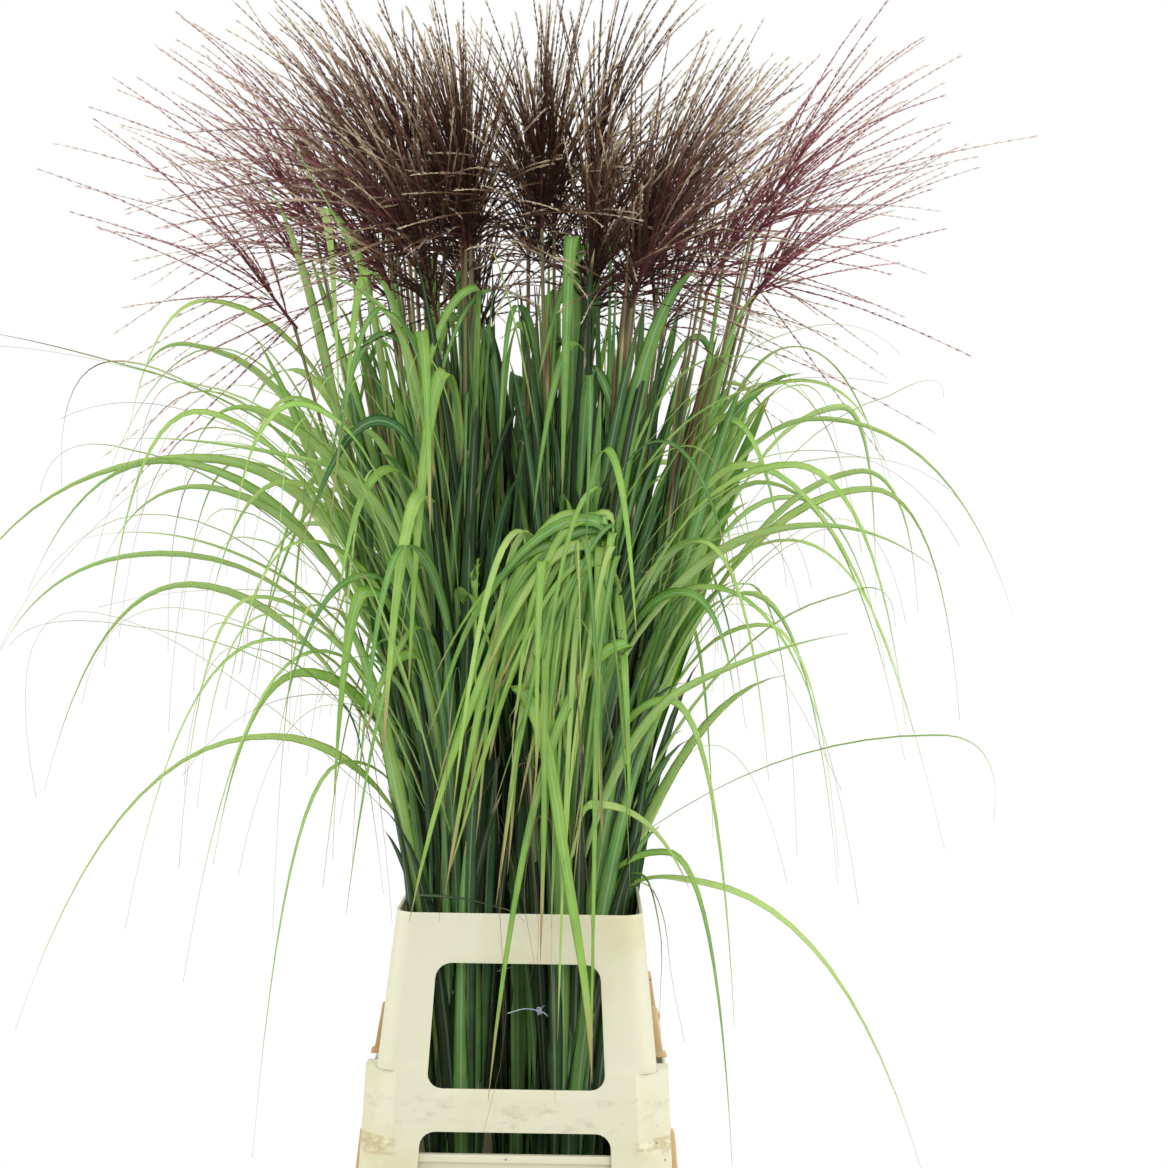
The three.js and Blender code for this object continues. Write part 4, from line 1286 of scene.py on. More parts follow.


# Narrower leaves beside the listed ones that end above the collar, their ends moved a little
def drawCompanions(bunch, placed, random):
    rules = blades["companions"]
    slim = (placed["tip"][:, 2] > rules["low"]) & (placed["width"] < rules["slimmest"])
    shown = np.flatnonzero((placed["shown"] > 0) & slim)
    each = rules["each"][bunch["name"]]
    leaves = pickLeaves(placed, random.permutation(np.repeat(shown, each * rules["triesEach"])))
    count = len(leaves["width"])
    leaves["base"][:, 2] += random.uniform(-rules["shift"], rules["shift"], count)
    moved = random.normal(0, 1, (count, 3)) * rules["shift"]
    leaves["top"] += moved
    leaves["tip"] += moved + random.normal(0, 1, (count, 3)) * rules["tip"]
    leaves["width"] *= random.uniform(*rules["width"], count)
    leaves["tint"] += random.uniform(*rules["tint"], count)
    leaves["arc"] = random.uniform(*rules["arc"], count)
    leaves["dry"] = random.uniform(*rules["dry"], count)
    leaves["sway"] = random.normal(0, blades["sway"], count)
    return keepFitting(bunch, leaves, each * len(shown))


# The rows of seenLeaves that belong to a bunch, as one group of leaves
def drawSeen(bunch):
    rows = [row[1:] for row in seenLeaves if row[0] == bunch["name"]]
    if not rows:
        return []
    base = [stemAt(bunch, bunch["culms"][index], node) for index, node, *_ in rows]
    values = {key: np.array([row[column] for row in rows], float)
              for column, key in enumerate(("top", "tip", "width", "tint", "dry", "curl", "power"), 2)}
    return [{"base": np.array(base), **values, "arc": np.full(len(rows), blades["seenArc"]),
             "sway": np.zeros(len(rows)), "shown": np.ones(len(rows))}]


# Leaves of a kind on a bunch's stems, all drawn at once, of which the first that fit are kept
def drawExtras(bunch, kind, random):
    count = round(kind["count"] * blades["shares"][kind.get("share", "all")][bunch["name"]])
    tries = count * blades["triesEach"]
    culm = culmArrays(bunch, random.integers(0, stems["inBunch"], tries))
    node = random.uniform(*kind["node"], tries)
    outward = outwardAngle(bunch)
    fanned = outward + np.sin(culm["angle"] - outward) * leafRules["fan"]
    if kind.get("round"):
        fanned = random.uniform(0, 2 * math.pi, tries)
    heading = fanned + (random.random(tries) - 0.5) * leafRules["scatter"]
    aim = np.stack([np.cos(heading), np.sin(heading), np.zeros(tries)], -1)
    topHeight = node + random.uniform(*kind["rise"], tries)
    top = stemAt(bunch, culm, np.minimum(topHeight, culm["top"]))
    top[:, 2] = topHeight
    top += aim * random.uniform(*kind["out"], tries)[:, None]
    fall = random.uniform(*kind.get("fall", leafRules["erectFall"]), tries)
    drop = random.uniform(*kind.get("drop", leafRules["erectDrop"]), tries)
    tip = top + aim * fall[:, None] - up * drop[:, None]
    leaves = {"base": stemAt(bunch, culm, node), "top": top, "tip": tip,
              **{key: random.uniform(*kind[key], tries) for key in ("width", "tint", "arc", "dry")},
              "sway": random.normal(0, blades["sway"], tries),
              "curl": np.zeros(tries), "shown": np.zeros(tries)}
    leaves["power"] = taperPower(leaves)
    return keepFitting(bunch, leaves, count)


# The cascade of pale thin leaves that falls in front of the core
def drawFountain(bunch, random):
    rules = blades["fountain"]
    count = rules["count"]
    culm = culmArrays(bunch, random.choice(rules["culms"], count))
    top = np.array(rules["top"]) + random.uniform(-1, 1, (count, 3)) * rules["spread"]
    fall, ahead, drop = (random.uniform(*rules[key], count) for key in ("fall", "ahead", "drop"))
    leaves = {"top": top, "tip": top + np.stack([fall, ahead, -drop], -1), "shown": np.ones(count),
              **{key: random.uniform(*rules[key], count) for key in ("width", "tint", "arc", "dry")}}
    leaves["base"] = stemAt(bunch, culm, random.uniform(*rules["node"], count))
    leaves["sway"] = random.normal(0, blades["sway"], count)
    leaves["curl"] = random.uniform(*rules["curl"], count)
    leaves["power"] = taperPower(leaves)
    return leaves


# Angle by which each section is rolled about its leaf's line: turned part of the way towards the camera,
# then twisted by a power of the share travelled, with one slow wave
def rollAngles(leaves, share, flat, above, random):
    count, middle = len(flat), flat.shape[1] * 3 // 5
    slope, least = above[:, middle, 1], blades["leastSlope"]
    facing = np.arctan(-flat[:, middle, 1] / np.where(np.abs(slope) < least, least, slope))
    held = (leaves["shown"] > 0) & (leaves["tip"][:, 1] < blades["heldFrom"])
    turned = np.where(held, blades["heldFacing"], random.uniform(*blades["facing"], count))
    loose = np.where(held, blades["heldTwist"], 1.0)
    twist = random.normal(0, blades["twist"], count) * loose
    wave = (random.normal(0, blades["rollWave"], count) * loose)[:, None]
    waves = random.uniform(*blades["rollWaves"], (count, 1)) * share + random.random((count, 1))
    roll = (facing * turned)[:, None] * ease(*blades["facingFrom"], share)
    roll = roll + twist[:, None] * share ** blades["twistPower"]
    return roll + wave * ease(*blades["rollWaveFrom"], share) * np.sin(2 * math.pi * waves)


# Half widths along leaves: a quarter of a sine wave up to the widest place, then a power of the share left
def halfWidths(leaves, share):
    widest = blades["widest"]
    growing = between((blades["baseWidth"], 1), np.sin(np.clip(share / widest, 0, 1) * math.pi / 2))
    fading = np.clip((1 - share) / (1 - widest), 0, 1) ** leaves["power"][:, None]
    half = leaves["width"][:, None] / 2 * np.where(share < widest, growing, fading)
    wider = np.where(leaves["shown"] > 0, blades["shownWidth"], 1)
    return np.maximum(half * wider[:, None], blades["tipWidth"])


# Ribbons for leaves. A leaf's middle line, swayed sideways by the square of the share travelled and curled
# at its tip, carries a section whose edges fold up by a power of their distance and ripple, and whose
# underside is deepest at the midrib
def bladeSurface(leaves, stations, section, random):
    count = len(leaves["width"])
    share = np.linspace(0, 1, stations)[None]
    ahead = leaves["tip"] - leaves["base"]
    length = np.linalg.norm(ahead, axis=1)
    ahead[:, 2] = 0
    ahead = unit(ahead)
    flat = np.stack([-ahead[:, 1], ahead[:, 0], np.zeros(count)], -1)[:, None]
    sway = flat * ((leaves["sway"] * length)[:, None] * share ** 2)[..., None]
    bend = ease(blades["curlFrom"], 1, share) * leaves["curl"][:, None]
    turn = blades["curlTurn"] * share ** 2 + random.uniform(*anyAngle, (count, 1))
    curl = np.stack([bend * np.cos(turn), blades["curlSide"] * bend * np.sin(2 * turn),
                     bend * np.sin(turn)], -1)
    line = leafLines(leaves, stations) + sway + curl
    along = unit(np.gradient(line, axis=1))
    flat = unit(flat - along * (flat * along).sum(-1, keepdims=True))
    above = np.cross(along, flat)
    roll = rollAngles(leaves, share, flat, above, random)[..., None]
    across = flat * np.cos(roll) + above * np.sin(roll)
    normal = above * np.cos(roll) - flat * np.sin(roll)
    half = halfWidths(leaves, share)[..., None]
    fold = between((blades["foldBase"], blades["foldTip"]), ease(0, blades["foldEnd"], share))[..., None]
    u, deep = section.T
    ripples = random.uniform(*blades["rippleWaves"], (count, 1, 1)) * share[..., None]
    ripples = ripples + blades["rippleShift"] * u + random.random((count, 1, 1))
    rippled = blades["ripple"] * np.abs(u) * np.sin(2 * math.pi * ripples)
    height = half * (fold * np.abs(u) ** blades["foldPower"] + rippled)
    thick = blades["thickness"] * np.clip(half / blades["fullThickness"], blades["leastThickness"], 1)
    height = height - deep * thick
    points = (line[:, :, None] + across[:, :, None] * (half * u)[..., None]
              + normal[:, :, None] * height[..., None])
    tint, dry = leaves["tint"][:, None, None], leaves["dry"][:, None, None]
    return {"points": points.reshape(-1, 3),
            "blade": perCorner(height.shape, u / 2 + 0.5, share[..., None]),
            "look": perCorner(height.shape, tint, dry, np.where(deep > 0, 1.0, 0.0)),
            "faceSets": [(repeatFaces(faces, stations * len(u), count), 0)
                         for faces in tubeFaces(stations, len(u))]}


# Round stems, their thickness read off a few heights, with a bell-shaped swelling at each node
def culmSurface(bunch, random):
    count, spacing = stems["inBunch"], culms["nodeGap"]
    culm = culmArrays(bunch, np.arange(count)[:, None])
    nodes = culms["nodeFirst"] + spacing * np.arange(culms["nodes"])
    shift = random.uniform(-culms["shift"], culms["shift"], (count, 1))
    beside = culms["nodeWidth"] * np.array(culms["nodeRows"])
    heights = np.concatenate([(nodes[:, None] + beside).ravel(), nodes[:-1] + spacing / 3,
                              nodes[:-1] + spacing * 2 / 3])
    heights = np.sort(np.concatenate([heights[None] + shift, np.full((count, 1), stems["foot"])], 1), 1)
    share = (heights - stems["foot"]) / (heights[:, -1:] - stems["foot"])
    even = stems["foot"] + share * (culm["top"] - stems["foot"])
    heights = np.minimum(np.where(heights > culms["evenFrom"], even, heights), culm["top"])
    rise = np.linspace(0, culms["leastRise"], heights.shape[1])
    heights = np.maximum.accumulate(heights + rise, 1)
    gap = np.abs((heights - shift - culms["nodeFirst"] + spacing / 2) % spacing - spacing / 2)
    swell = np.exp(-(gap / culms["nodeWidth"]) ** 2)[..., None]
    levels, sizes = np.array(culms["thickness"]).T
    radius = np.interp(heights, levels, sizes)[..., None] * (1 + culms["nodeSwell"] * swell)
    turn = np.linspace(0, 2 * math.pi, culms["sides"], endpoint=False)
    ring = np.stack([np.cos(turn), np.sin(turn), np.zeros(len(turn))], -1)
    points = stemAt(bunch, culm, heights)[:, :, None] + ring * radius[..., None]
    rows = heights.shape[1]
    return {"points": points.reshape(-1, 3),
            "blade": perCorner(points.shape[:3], turn / (2 * math.pi), heights[..., None] * metresPerMm),
            "look": perCorner(points.shape[:3], random.random((count, 1, 1)), swell, 0.0),
            "faceSets": [(repeatFaces(faces, rows * len(turn), count), 1)
                         for faces in tubeFaces(rows, len(turn))]}


# Leaves or plumes, held inside the model's box
def putFoliage(name, surfaces, materials, smooth=True):
    joined = joinSurfaces(surfaces)
    joined["points"] = np.clip(joined["points"], boxLow + foliageGap, boxHigh - foliageGap)
    return putMesh(name, materials=materials, smooth=smooth, **joined)


# A bunch's leaves and stems. Leaves are paler the further out their top is, painted light for the backlight
# that brightens the outer leaves; broad and slim, upright and arched ones have sections and stations of
# their own
def makeBunch(bunch, leafFinish, culmFinish, random):
    placed = dressPlaced(bunch, random)
    groups = [placed, drawCompanions(bunch, placed, random), *drawSeen(bunch)]
    groups += [drawExtras(bunch, kind, random) for kind in blades["kinds"]]
    if bunch["name"] == blades["fountain"]["bunch"]:
        groups.append(drawFountain(bunch, random))
    leaves = {key: np.concatenate([group[key] for group in groups]) for key in placed}
    # Painted light: leaves whose tops stand far out are pulled to a pale tint, for the backlight that
    # brightens them
    aside = blades["sidePull"] * ease(*blades["sideTintAt"], np.abs(leaves["top"][:, 0]))
    leaves["tint"] = between((leaves["tint"], blades["sideTint"]), aside)
    upright = isUpright(leaves)
    slim = leaves["width"] < np.where(upright, *blades["slimWidth"])
    surfaces = []
    for chosen, stations, section in ((upright & ~slim, "uprightStations", "section"),
                                      (~upright & ~slim, "archStations", "section"),
                                      (upright & slim, "slimUprightStations", "slimSection"),
                                      (~upright & slim, "slimArchStations", "slimSection")):
        group = pickLeaves(leaves, chosen)
        surfaces.append(bladeSurface(group, blades[stations], blades[section], random))
    surfaces.append(culmSurface(bunch, random))
    piece = putFoliage("leaves_" + bunch["name"], surfaces, [leafFinish, culmFinish])
    place(piece, "leaf_green", "leafy_bunch_" + bunch["name"])


# Plumes

feather = {
    "seed": 9,
    "axis": 92,
    "axisRadius": (1.9, 0.8),
    "axisSink": 0.06,
    "axisStations": 8,
    "axisSides": 8,
    "axisLook": 0.3,
    "kinds": [
        {"counts": (31, 3), "share": (0.05, 0.85), "lean": (42, 4), "length": (105, 200),
         "bow": (0.15, 0.5)},
        {"counts": (12, 2), "share": (0, 0.35), "lean": (92, 45), "length": (90, 190),
         "bow": (0.6, 1.4)},
        {"counts": (0, 4), "share": (0, 0.8), "lean": (100, 35), "length": (140, 240),
         "bow": (0.7, 1.5), "outer": True},
    ],
    "triesEach": 8,
    "sideways": (1.6, 0.5),
    "leanScatter": (0.6, 1.05),
    "nod": 0.65,
    "reach": ((1150, 455), (1380, 430), (1517, 380)),
    "outerSide": 0.3,
    "rightThinning": 0.35,
    "edgeMargin": 5,
    "first": 0.05,
    "pairs": 29,
    "pairPlace": 0.4,
    "pairShift": 0.004,
    "pairTurn": 0.95,
    "turnScatter": 0.3,
    "tilts": (0.07, 0.19),
    "tiltScatter": (0.6, 1.4),
    "spikeletLength": (7.8, 10.5),
    "spikeletWidth": 1.7,
    "lengthFade": 0.25,
    "widthFade": 0.3,
    "offset": 0.3,
    "rachisStations": 8,
    "rachisRadius": (0.55, 0.25),
    "redFrom": 130,
    "redOver": 120,
    "redOutward": 0.8,
    "redChance": (-0.35, 0.45),
}


# More racemes of a kind on a plume: those that lean most stand lowest and droop; the outer kind grows only
# at the outer side of the plumes that stand out
def drawExtraRacemes(plume, kind, random):
    wind = plume["wind"]
    gain, loss = feather["sideways"]
    sideways = np.clip(abs(wind[0]) * gain - loss, 0, 1)
    thinned = 1 - feather["rightThinning"] * np.clip(wind[0], 0, 1)
    count = round(between(kind["counts"], sideways) * thinned)
    tries = max(count * feather["triesEach"], 1)
    part = random.random(tries)
    share = between(kind["share"], part)
    turn = random.uniform(0, 2 * math.pi, tries)
    around = plume["across"] * np.cos(turn)[:, None] + plume["third"] * np.sin(turn)[:, None]
    lean = np.radians(between(kind["lean"], part) * random.uniform(*feather["leanScatter"], tries))
    length = random.uniform(*kind["length"], tries)
    bow = random.uniform(*kind["bow"], tries) + feather["nod"] * random.random(tries) * math.hypot(*wind)
    start = plume["base"] + plume["aim"] * (feather["axis"] * share)[:, None]
    aim = around * np.sin(lean)[:, None] + plume["aim"] * np.cos(lean)[:, None]
    droop = plumeRules["sag"] - np.sin(lean)
    sag = unit(np.concatenate([aim[:, :2] + wind, droop[:, None]], -1))
    end = racemeLine(start, aim, sag, bow[:, None], length[:, None], 1.0)
    margin = feather["edgeMargin"]
    fits = ((end > boxLow + margin) & (end < boxHigh - margin)).all(1)
    heights, reach = zip(*feather["reach"])
    fits &= np.abs(end[:, 0]) < np.interp(end[:, 2], heights, reach)
    if kind.get("outer"):
        fits &= around[:, 0] * np.sign(wind[0]) > feather["outerSide"]
    kept = np.flatnonzero(fits)[:count]
    return [(start[i], aim[i], sag[i], bow[i], length[i]) for i in kept]


# Places along racemes at shares of their length, with the direction there and two directions across it
def alongRacemes(racemes, reference, share):
    start, aim, sag = (np.array([raceme[key] for raceme in racemes])[:, None] for key in range(3))
    bow, length = (np.array([raceme[key] for raceme in racemes])[:, None, None] for key in (3, 4))
    point = racemeLine(start, aim, sag, bow, length, share[..., None])
    along = unit(aim + sag * (bow * share[..., None]))
    across = unit(np.cross(along, reference))
    return point, along, across, np.cross(along, across)


# Racemes. Spikelets stand in pairs, one on each side of the rachis, each pair turned a little further: slim
# three-sided spikes of four corners that lean away from it. The rachis is a thin three-sided tube
def racemeSurfaces(racemes, redness, random):
    count, pairs = len(racemes), feather["pairs"]
    reference = unit(random.normal(0, 1, (count, 3)))[:, None]
    tint, red = random.random((count, 1, 1)), redness[:, None, None]
    sides = [(math.cos(angle), math.sin(angle)) for angle in np.arange(3) * 2 * math.pi / 3]

    first, shift = feather["first"], feather["pairShift"]
    share = first + (1 - first) * (np.arange(pairs)[None] + feather["pairPlace"]) / pairs
    share = np.repeat(np.broadcast_to(share, (count, pairs)), 2, 1)
    share = share + random.uniform(-shift, shift, share.shape)
    point, along, across, third = alongRacemes(racemes, reference, share)
    spikelet = np.arange(pairs * 2)
    turn = spikelet // 2 * feather["pairTurn"] + spikelet % 2 * math.pi
    turn = turn + random.uniform(*anyAngle, (count, 1))
    turn = turn + random.uniform(-feather["turnScatter"], feather["turnScatter"], turn.shape)
    away = across * np.cos(turn)[..., None] + third * np.sin(turn)[..., None]
    tilt = np.array(feather["tilts"])[spikelet % 2] * random.uniform(*feather["tiltScatter"], turn.shape)
    axis = unit(along + away * tilt[..., None])
    wide = unit(np.cross(axis, away))
    deep = np.cross(axis, wide)
    length = random.uniform(*feather["spikeletLength"], turn.shape) * (1 - feather["lengthFade"] * share)
    radius = feather["spikeletWidth"] / 2 * (1 - feather["widthFade"] * share)
    foot = point + away * feather["offset"]
    corners = [foot + (wide * u + deep * v) * radius[..., None] for u, v in sides]
    spikes = np.stack([*corners, foot + axis * length[..., None]], 2)
    spikeFaces = np.array([(0, 1, 3), (1, 2, 3), (2, 0, 3), (0, 2, 1)])
    husk = np.array([0.0, 0.0, 0.0, 1.0])
    spikelets = {"points": spikes.reshape(-1, 3),
                 "blade": perCorner(spikes.shape[:3], husk, random.random(turn.shape)[..., None]),
                 "look": perCorner(spikes.shape[:3], share[..., None], tint, red),
                 "faceSets": [(repeatFaces(spikeFaces, 4, count * pairs * 2), 0)]}

    rows = feather["rachisStations"]
    share = np.broadcast_to(np.linspace(0, 1, rows)[None], (count, rows))
    point, along, across, third = alongRacemes(racemes, reference, share)
    thin = between(feather["rachisRadius"], share)[..., None]
    tube = np.stack([point + (across * u + third * v) * thin for u, v in sides], 2)
    rachis = {"points": tube.reshape(-1, 3), "blade": np.zeros((tube.size // 3, 2)),
              "look": perCorner(tube.shape[:3], share[..., None], tint, red),
              "faceSets": [(repeatFaces(faces, rows * 3, count), 0) for faces in tubeFaces(rows, 3)]}
    return [spikelets, rachis]


# The plume's own short axis, round and tapering, on its stem's end
def axisSurface(plume):
    stations, sides = feather["axisStations"], feather["axisSides"]
    share = np.linspace(-feather["axisSink"], 1, stations)[:, None, None]
    turn = np.linspace(0, 2 * math.pi, sides, endpoint=False)[None, :, None]
    ring = plume["across"] * np.cos(turn) + plume["third"] * np.sin(turn)
    radius = between(feather["axisRadius"], share)
    points = (plume["base"] + plume["aim"] * feather["axis"] * share + ring * radius).reshape(-1, 3)
    return {"points": points, "blade": np.zeros((len(points), 2)),
            "look": np.full((len(points), 3), feather["axisLook"]),
            "faceSets": [(faces, 0) for faces in tubeFaces(stations, sides)]}


# Plumes of a bunch; the racemes that stand furthest out are the reddest
def makePlumes(bunch, firstNumber, material, random):
    surfaces = []
    for plume in bunch["plumes"]:
        racemes = list(plume["racemes"])
        for kind in feather["kinds"]:
            racemes += drawExtraRacemes(plume, kind, random)
        outward = np.array([raceme[1][:2].dot(plume["wind"]) for raceme in racemes])
        chance = random.uniform(*feather["redChance"], len(racemes))
        aside = (abs(plume["base"][0]) - feather["redFrom"]) / feather["redOver"]
        redness = np.clip(aside + outward * feather["redOutward"] + chance, 0, 1)
        surfaces += [*racemeSurfaces(racemes, redness, random), axisSurface(plume)]
    piece = putFoliage("plumes_" + bunch["name"], surfaces, [material], smooth=False)
    nodes = [f"plume_{number:02d}" for number in range(firstNumber, firstNumber + stems["inBunch"])]
    place(piece, "plume_brown", *nodes)


# Finishes

# Green blade with a pale midrib, fine parallel veins, a dry tip and light that shines through it; its
# lowest tints are painted shade, near-black green with little light shining through
def leafMaterial():
    material, tree = newMaterial("grass_blade")
    uv, across, along, tint, dry, under = foliageNodes(tree)
    patches = noiseNode(tree, spotNode(tree), 26.0, 3.0)
    streaks = noiseNode(tree, uv, 1.0, 2.0, stretch=(34.0, 3.0, 1.0))
    beside = calc(tree, "ABSOLUTE", calc(tree, "SUBTRACT", across, 0.5))
    rib = rest(tree, stepNode(tree, beside, 0.03, 0.085))
    rib = times(tree, rib, rest(tree, stepNode(tree, along, 0.75, 0.97)))
    veins = calc(tree, "SINE", times(tree, across, 62.0))
    veins = times(tree, veins, rest(tree, stepNode(tree, along, 0.25, 0.6)))
    shade = plus(tree, tint, swing(tree, patches, 0.5))
    shade = plus(tree, shade, swing(tree, streaks, 0.35), clamp=True)
    # The ramp's near-black lowest stop is painted shade for the leaves deep in the core
    green = rampNode(tree, shade, ((0.0, "102a14"), (0.3, "437a42"), (0.55, "78b04f"), (0.8, "a9d45f"),
                                   (1.0, "cfe789")))
    paler = plus(tree, 0.08, times(tree, tint, 0.25), clamp=True)
    green = mixNode(tree, times(tree, under, paler), green, tone("83a37c"))
    green = mixNode(tree, times(tree, plus(tree, veins, 1.0), 0.07), green, tone("a9c987"))
    bright = plus(tree, 0.35, times(tree, tint, 0.5), clamp=True)
    green = mixNode(tree, times(tree, rib, bright), green, tone("bedaae"))
    foot = rest(tree, stepNode(tree, along, 0.0, 0.09))
    green = mixNode(tree, times(tree, foot, 0.5), green, tone("a9b878"))
    reach = plus(tree, along, swing(tree, streaks, 0.12))
    pastGreen = calc(tree, "SUBTRACT", reach, rest(tree, dry))
    straw = mixNode(tree, stepNode(tree, pastGreen, 0.0, 0.12), tone("cbb784"), tone("97745a"))
    colour = mixNode(tree, stepNode(tree, pastGreen, -0.05, 0.02), green, straw)
    normal = bumpNode(tree, plus(tree, times(tree, veins, 0.2), rib), 0.2, 0.0003)
    rough = plus(tree, 0.38, times(tree, patches, 0.22))
    shader = addNode(tree, "BsdfPrincipled", {"Base Color": colour, "Roughness": rough, "Normal": normal,
                                              "Specular IOR Level": 0.34})
    through = mixNode(tree, 0.35, colour, tone("b6d64a"), "SOFT_LIGHT")
    # Painted shade: low tints dim the light that shines through towards near-black green
    clear = plus(tree, 0.3, times(tree, tint, 0.8), clamp=True)
    through = mixNode(tree, clear, tone("0c1a0e"), through)
    glow = addNode(tree, "BsdfTranslucent", {"Color": through, "Normal": normal})
    finishMaterial(tree, glowing(tree, 0.38, shader, glow))
    return material


# Smooth stem: waxy green, browner above, with a dark ring at each node
def culmMaterial():
    material, tree = newMaterial("grass_stem")
    uv, _, height, tint, swell, _ = foliageNodes(tree)
    streaks = noiseNode(tree, uv, 1.0, 3.0, stretch=(9.0, 14.0, 1.0))
    green = mixNode(tree, tint, tone("5f7f42"), tone("8ba35c"))
    upper = mixNode(tree, tint, tone("6b5a3c"), tone("8a8450"))
    colour = mixNode(tree, stepNode(tree, height, 0.75, 1.15), green, upper)
    colour = mixNode(tree, times(tree, stepNode(tree, streaks, 0.35, 0.7), 0.35), colour, tone("3f4a2c"))
    colour = mixNode(tree, times(tree, stepNode(tree, swell, 0.3, 0.9), 0.7), colour, tone("4a3226"))
    normal = bumpNode(tree, streaks, 0.25, 0.0005)
    finishMaterial(tree, addNode(tree, "BsdfPrincipled", {"Base Color": colour, "Roughness": 0.42,
                                                          "Normal": normal}))
    return material


# Spikelets: dark brown in the middle of the head, wine red at its sides, paler towards the racemes' ends,
# which is partly their silky hairs and partly painted light for the bright tips
def plumeMaterial():
    material, tree = newMaterial("plume_spikelets")
    _, husk, chance, along, tint, red = foliageNodes(tree)
    reach = plus(tree, along, swing(tree, tint, 0.35), clamp=True)
    # The ramps' palest stops at the racemes' ends are partly painted light for the bright tips
    brown = rampNode(tree, reach, ((0.0, "351c13"), (0.45, "4b2c1e"), (0.78, "846245"), (1.0, "e0d2b4")))
    wine = rampNode(tree, reach, ((0.0, "85404a"), (0.45, "a86069"), (0.8, "c89c97"), (1.0, "e6d4c6")))
    # Partly painted light: the pale hairy share grows towards the racemes' ends, for the bright tips
    outwards = times(tree, calc(tree, "POWER", reach, 2.0), 1.1)
    chance = times(tree, chance, plus(tree, 0.05, outwards), clamp=True)
    pale = times(tree, stepNode(tree, husk, 0.25, 0.9), chance)
    colour = mixNode(tree, pale, mixNode(tree, red, brown, wine), tone("e2d3b8"))
    shader = addNode(tree, "BsdfPrincipled", {"Base Color": colour, "Roughness": 0.62,
                                              "Specular IOR Level": 0.3})
    glow = addNode(tree, "BsdfTranslucent", {"Color": colour})
    finishMaterial(tree, glowing(tree, 0.3, shader, glow))
    return material


# Cream moulded plastic, aged: yellow clouds, grey scuffs, dark specks and dirt on the corners' ledges
def plasticMaterial(name, clean, aged, through, share):
    material, tree = newMaterial(name)
    spot = spotNode(tree)
    x, y, z = addNode(tree, "SeparateXYZ", {0: spot}).outputs
    clouds = noiseNode(tree, spot, 9.0, 4.0)
    fine = noiseNode(tree, spot, 160.0, 3.0)
    smears = noiseNode(tree, spot, 7.0, 4.0, stretch=(1.0, 1.0, 0.25))
    scuffs = noiseNode(tree, spot, 45.0, 5.0, 0.7, stretch=(1.0, 1.0, 2.2))
    colour = mixNode(tree, stepNode(tree, clouds, 0.42, 0.75), tone(clean), tone(aged))
    colour = mixNode(tree, times(tree, stepNode(tree, smears, 0.58, 0.8), 0.25), colour, tone("cfc3a0"))
    band = times(tree, stepNode(tree, z, 0.325, 0.338), rest(tree, stepNode(tree, z, 0.355, 0.372)))
    worn = times(tree, band, stepNode(tree, scuffs, 0.5, 0.72))
    colour = mixNode(tree, times(tree, worn, 0.4), colour, tone("a59c86"))
    ledge = times(tree, stepNode(tree, z, 0.305, 0.312), rest(tree, stepNode(tree, z, 0.322, 0.326)))
    aside = plus(tree, calc(tree, "ABSOLUTE", x), calc(tree, "ABSOLUTE", y))
    corner = times(tree, ledge, stepNode(tree, aside, 0.305, 0.315))
    dirt = times(tree, corner, stepNode(tree, scuffs, 0.42, 0.6))
    colour = mixNode(tree, times(tree, dirt, 0.65), colour, tone("b09a5c"))
    specks = addNode(tree, "TexVoronoi", {"Vector": spot, "Scale": 95.0}, feature="F1").outputs["Distance"]
    sparse = stepNode(tree, noiseNode(tree, spot, 14.0, 2.0), 0.6, 0.66)
    dots = times(tree, rest(tree, stepNode(tree, specks, 0.1, 0.17)), sparse)
    colour = mixNode(tree, times(tree, dots, 0.75), colour, tone("5b5138"))
    rough = plus(tree, 0.36, times(tree, scuffs, 0.25))
    height = plus(tree, times(tree, fine, 0.3), times(tree, scuffs, 0.3))
    normal = bumpNode(tree, height, 0.12, 0.001)
    shader = addNode(tree, "BsdfPrincipled", {"Base Color": colour, "Roughness": rough, "Normal": normal,
                                              "Specular IOR Level": 0.5})
    glow = addNode(tree, "BsdfTranslucent", {"Color": (*tone(through), 1), "Normal": normal})
    finishMaterial(tree, glowing(tree, share, shader, glow))
    return material


# Pale twine: fibres along the strands and a little dirt
def twineMaterial():
    material, tree = newMaterial("tie_twine")
    uv = addNode(tree, "UVMap", uv_map="blade").outputs[0]
    fibres = noiseNode(tree, uv, 1.0, 4.0, stretch=(24.0, 180.0, 1.0))
    colour = mixNode(tree, stepNode(tree, fibres, 0.3, 0.75), tone("a9bcd6"), tone("e8eef6"))
    normal = bumpNode(tree, fibres, 0.5, 0.0004)
    finishMaterial(tree, addNode(tree, "BsdfPrincipled", {"Base Color": colour, "Roughness": 0.75,
                                                          "Normal": normal, "Sheen Weight": 0.3}))
    return material


# Still water, slightly green, with low ripples
def waterMaterial():
    material, tree = newMaterial("vase_water")
    spot = spotNode(tree)
    normal = bumpNode(tree, noiseNode(tree, spot, 30.0, 2.0), 0.15, 0.002)
    colour = mixNode(tree, noiseNode(tree, spot, 12.0, 3.0), tone("c9dccb"), tone("e4efe4"))
    finishMaterial(tree, addNode(tree, "BsdfPrincipled", {"Base Color": colour, "Roughness": 0.04,
                                                          "Normal": normal, "IOR": 1.33,
                                                          "Transmission Weight": 0.85}))
    return material


# The studio: pale floor, soft lamps at the sides and in front, and surroundings that are full white behind
# the grass and dimmer in front of it

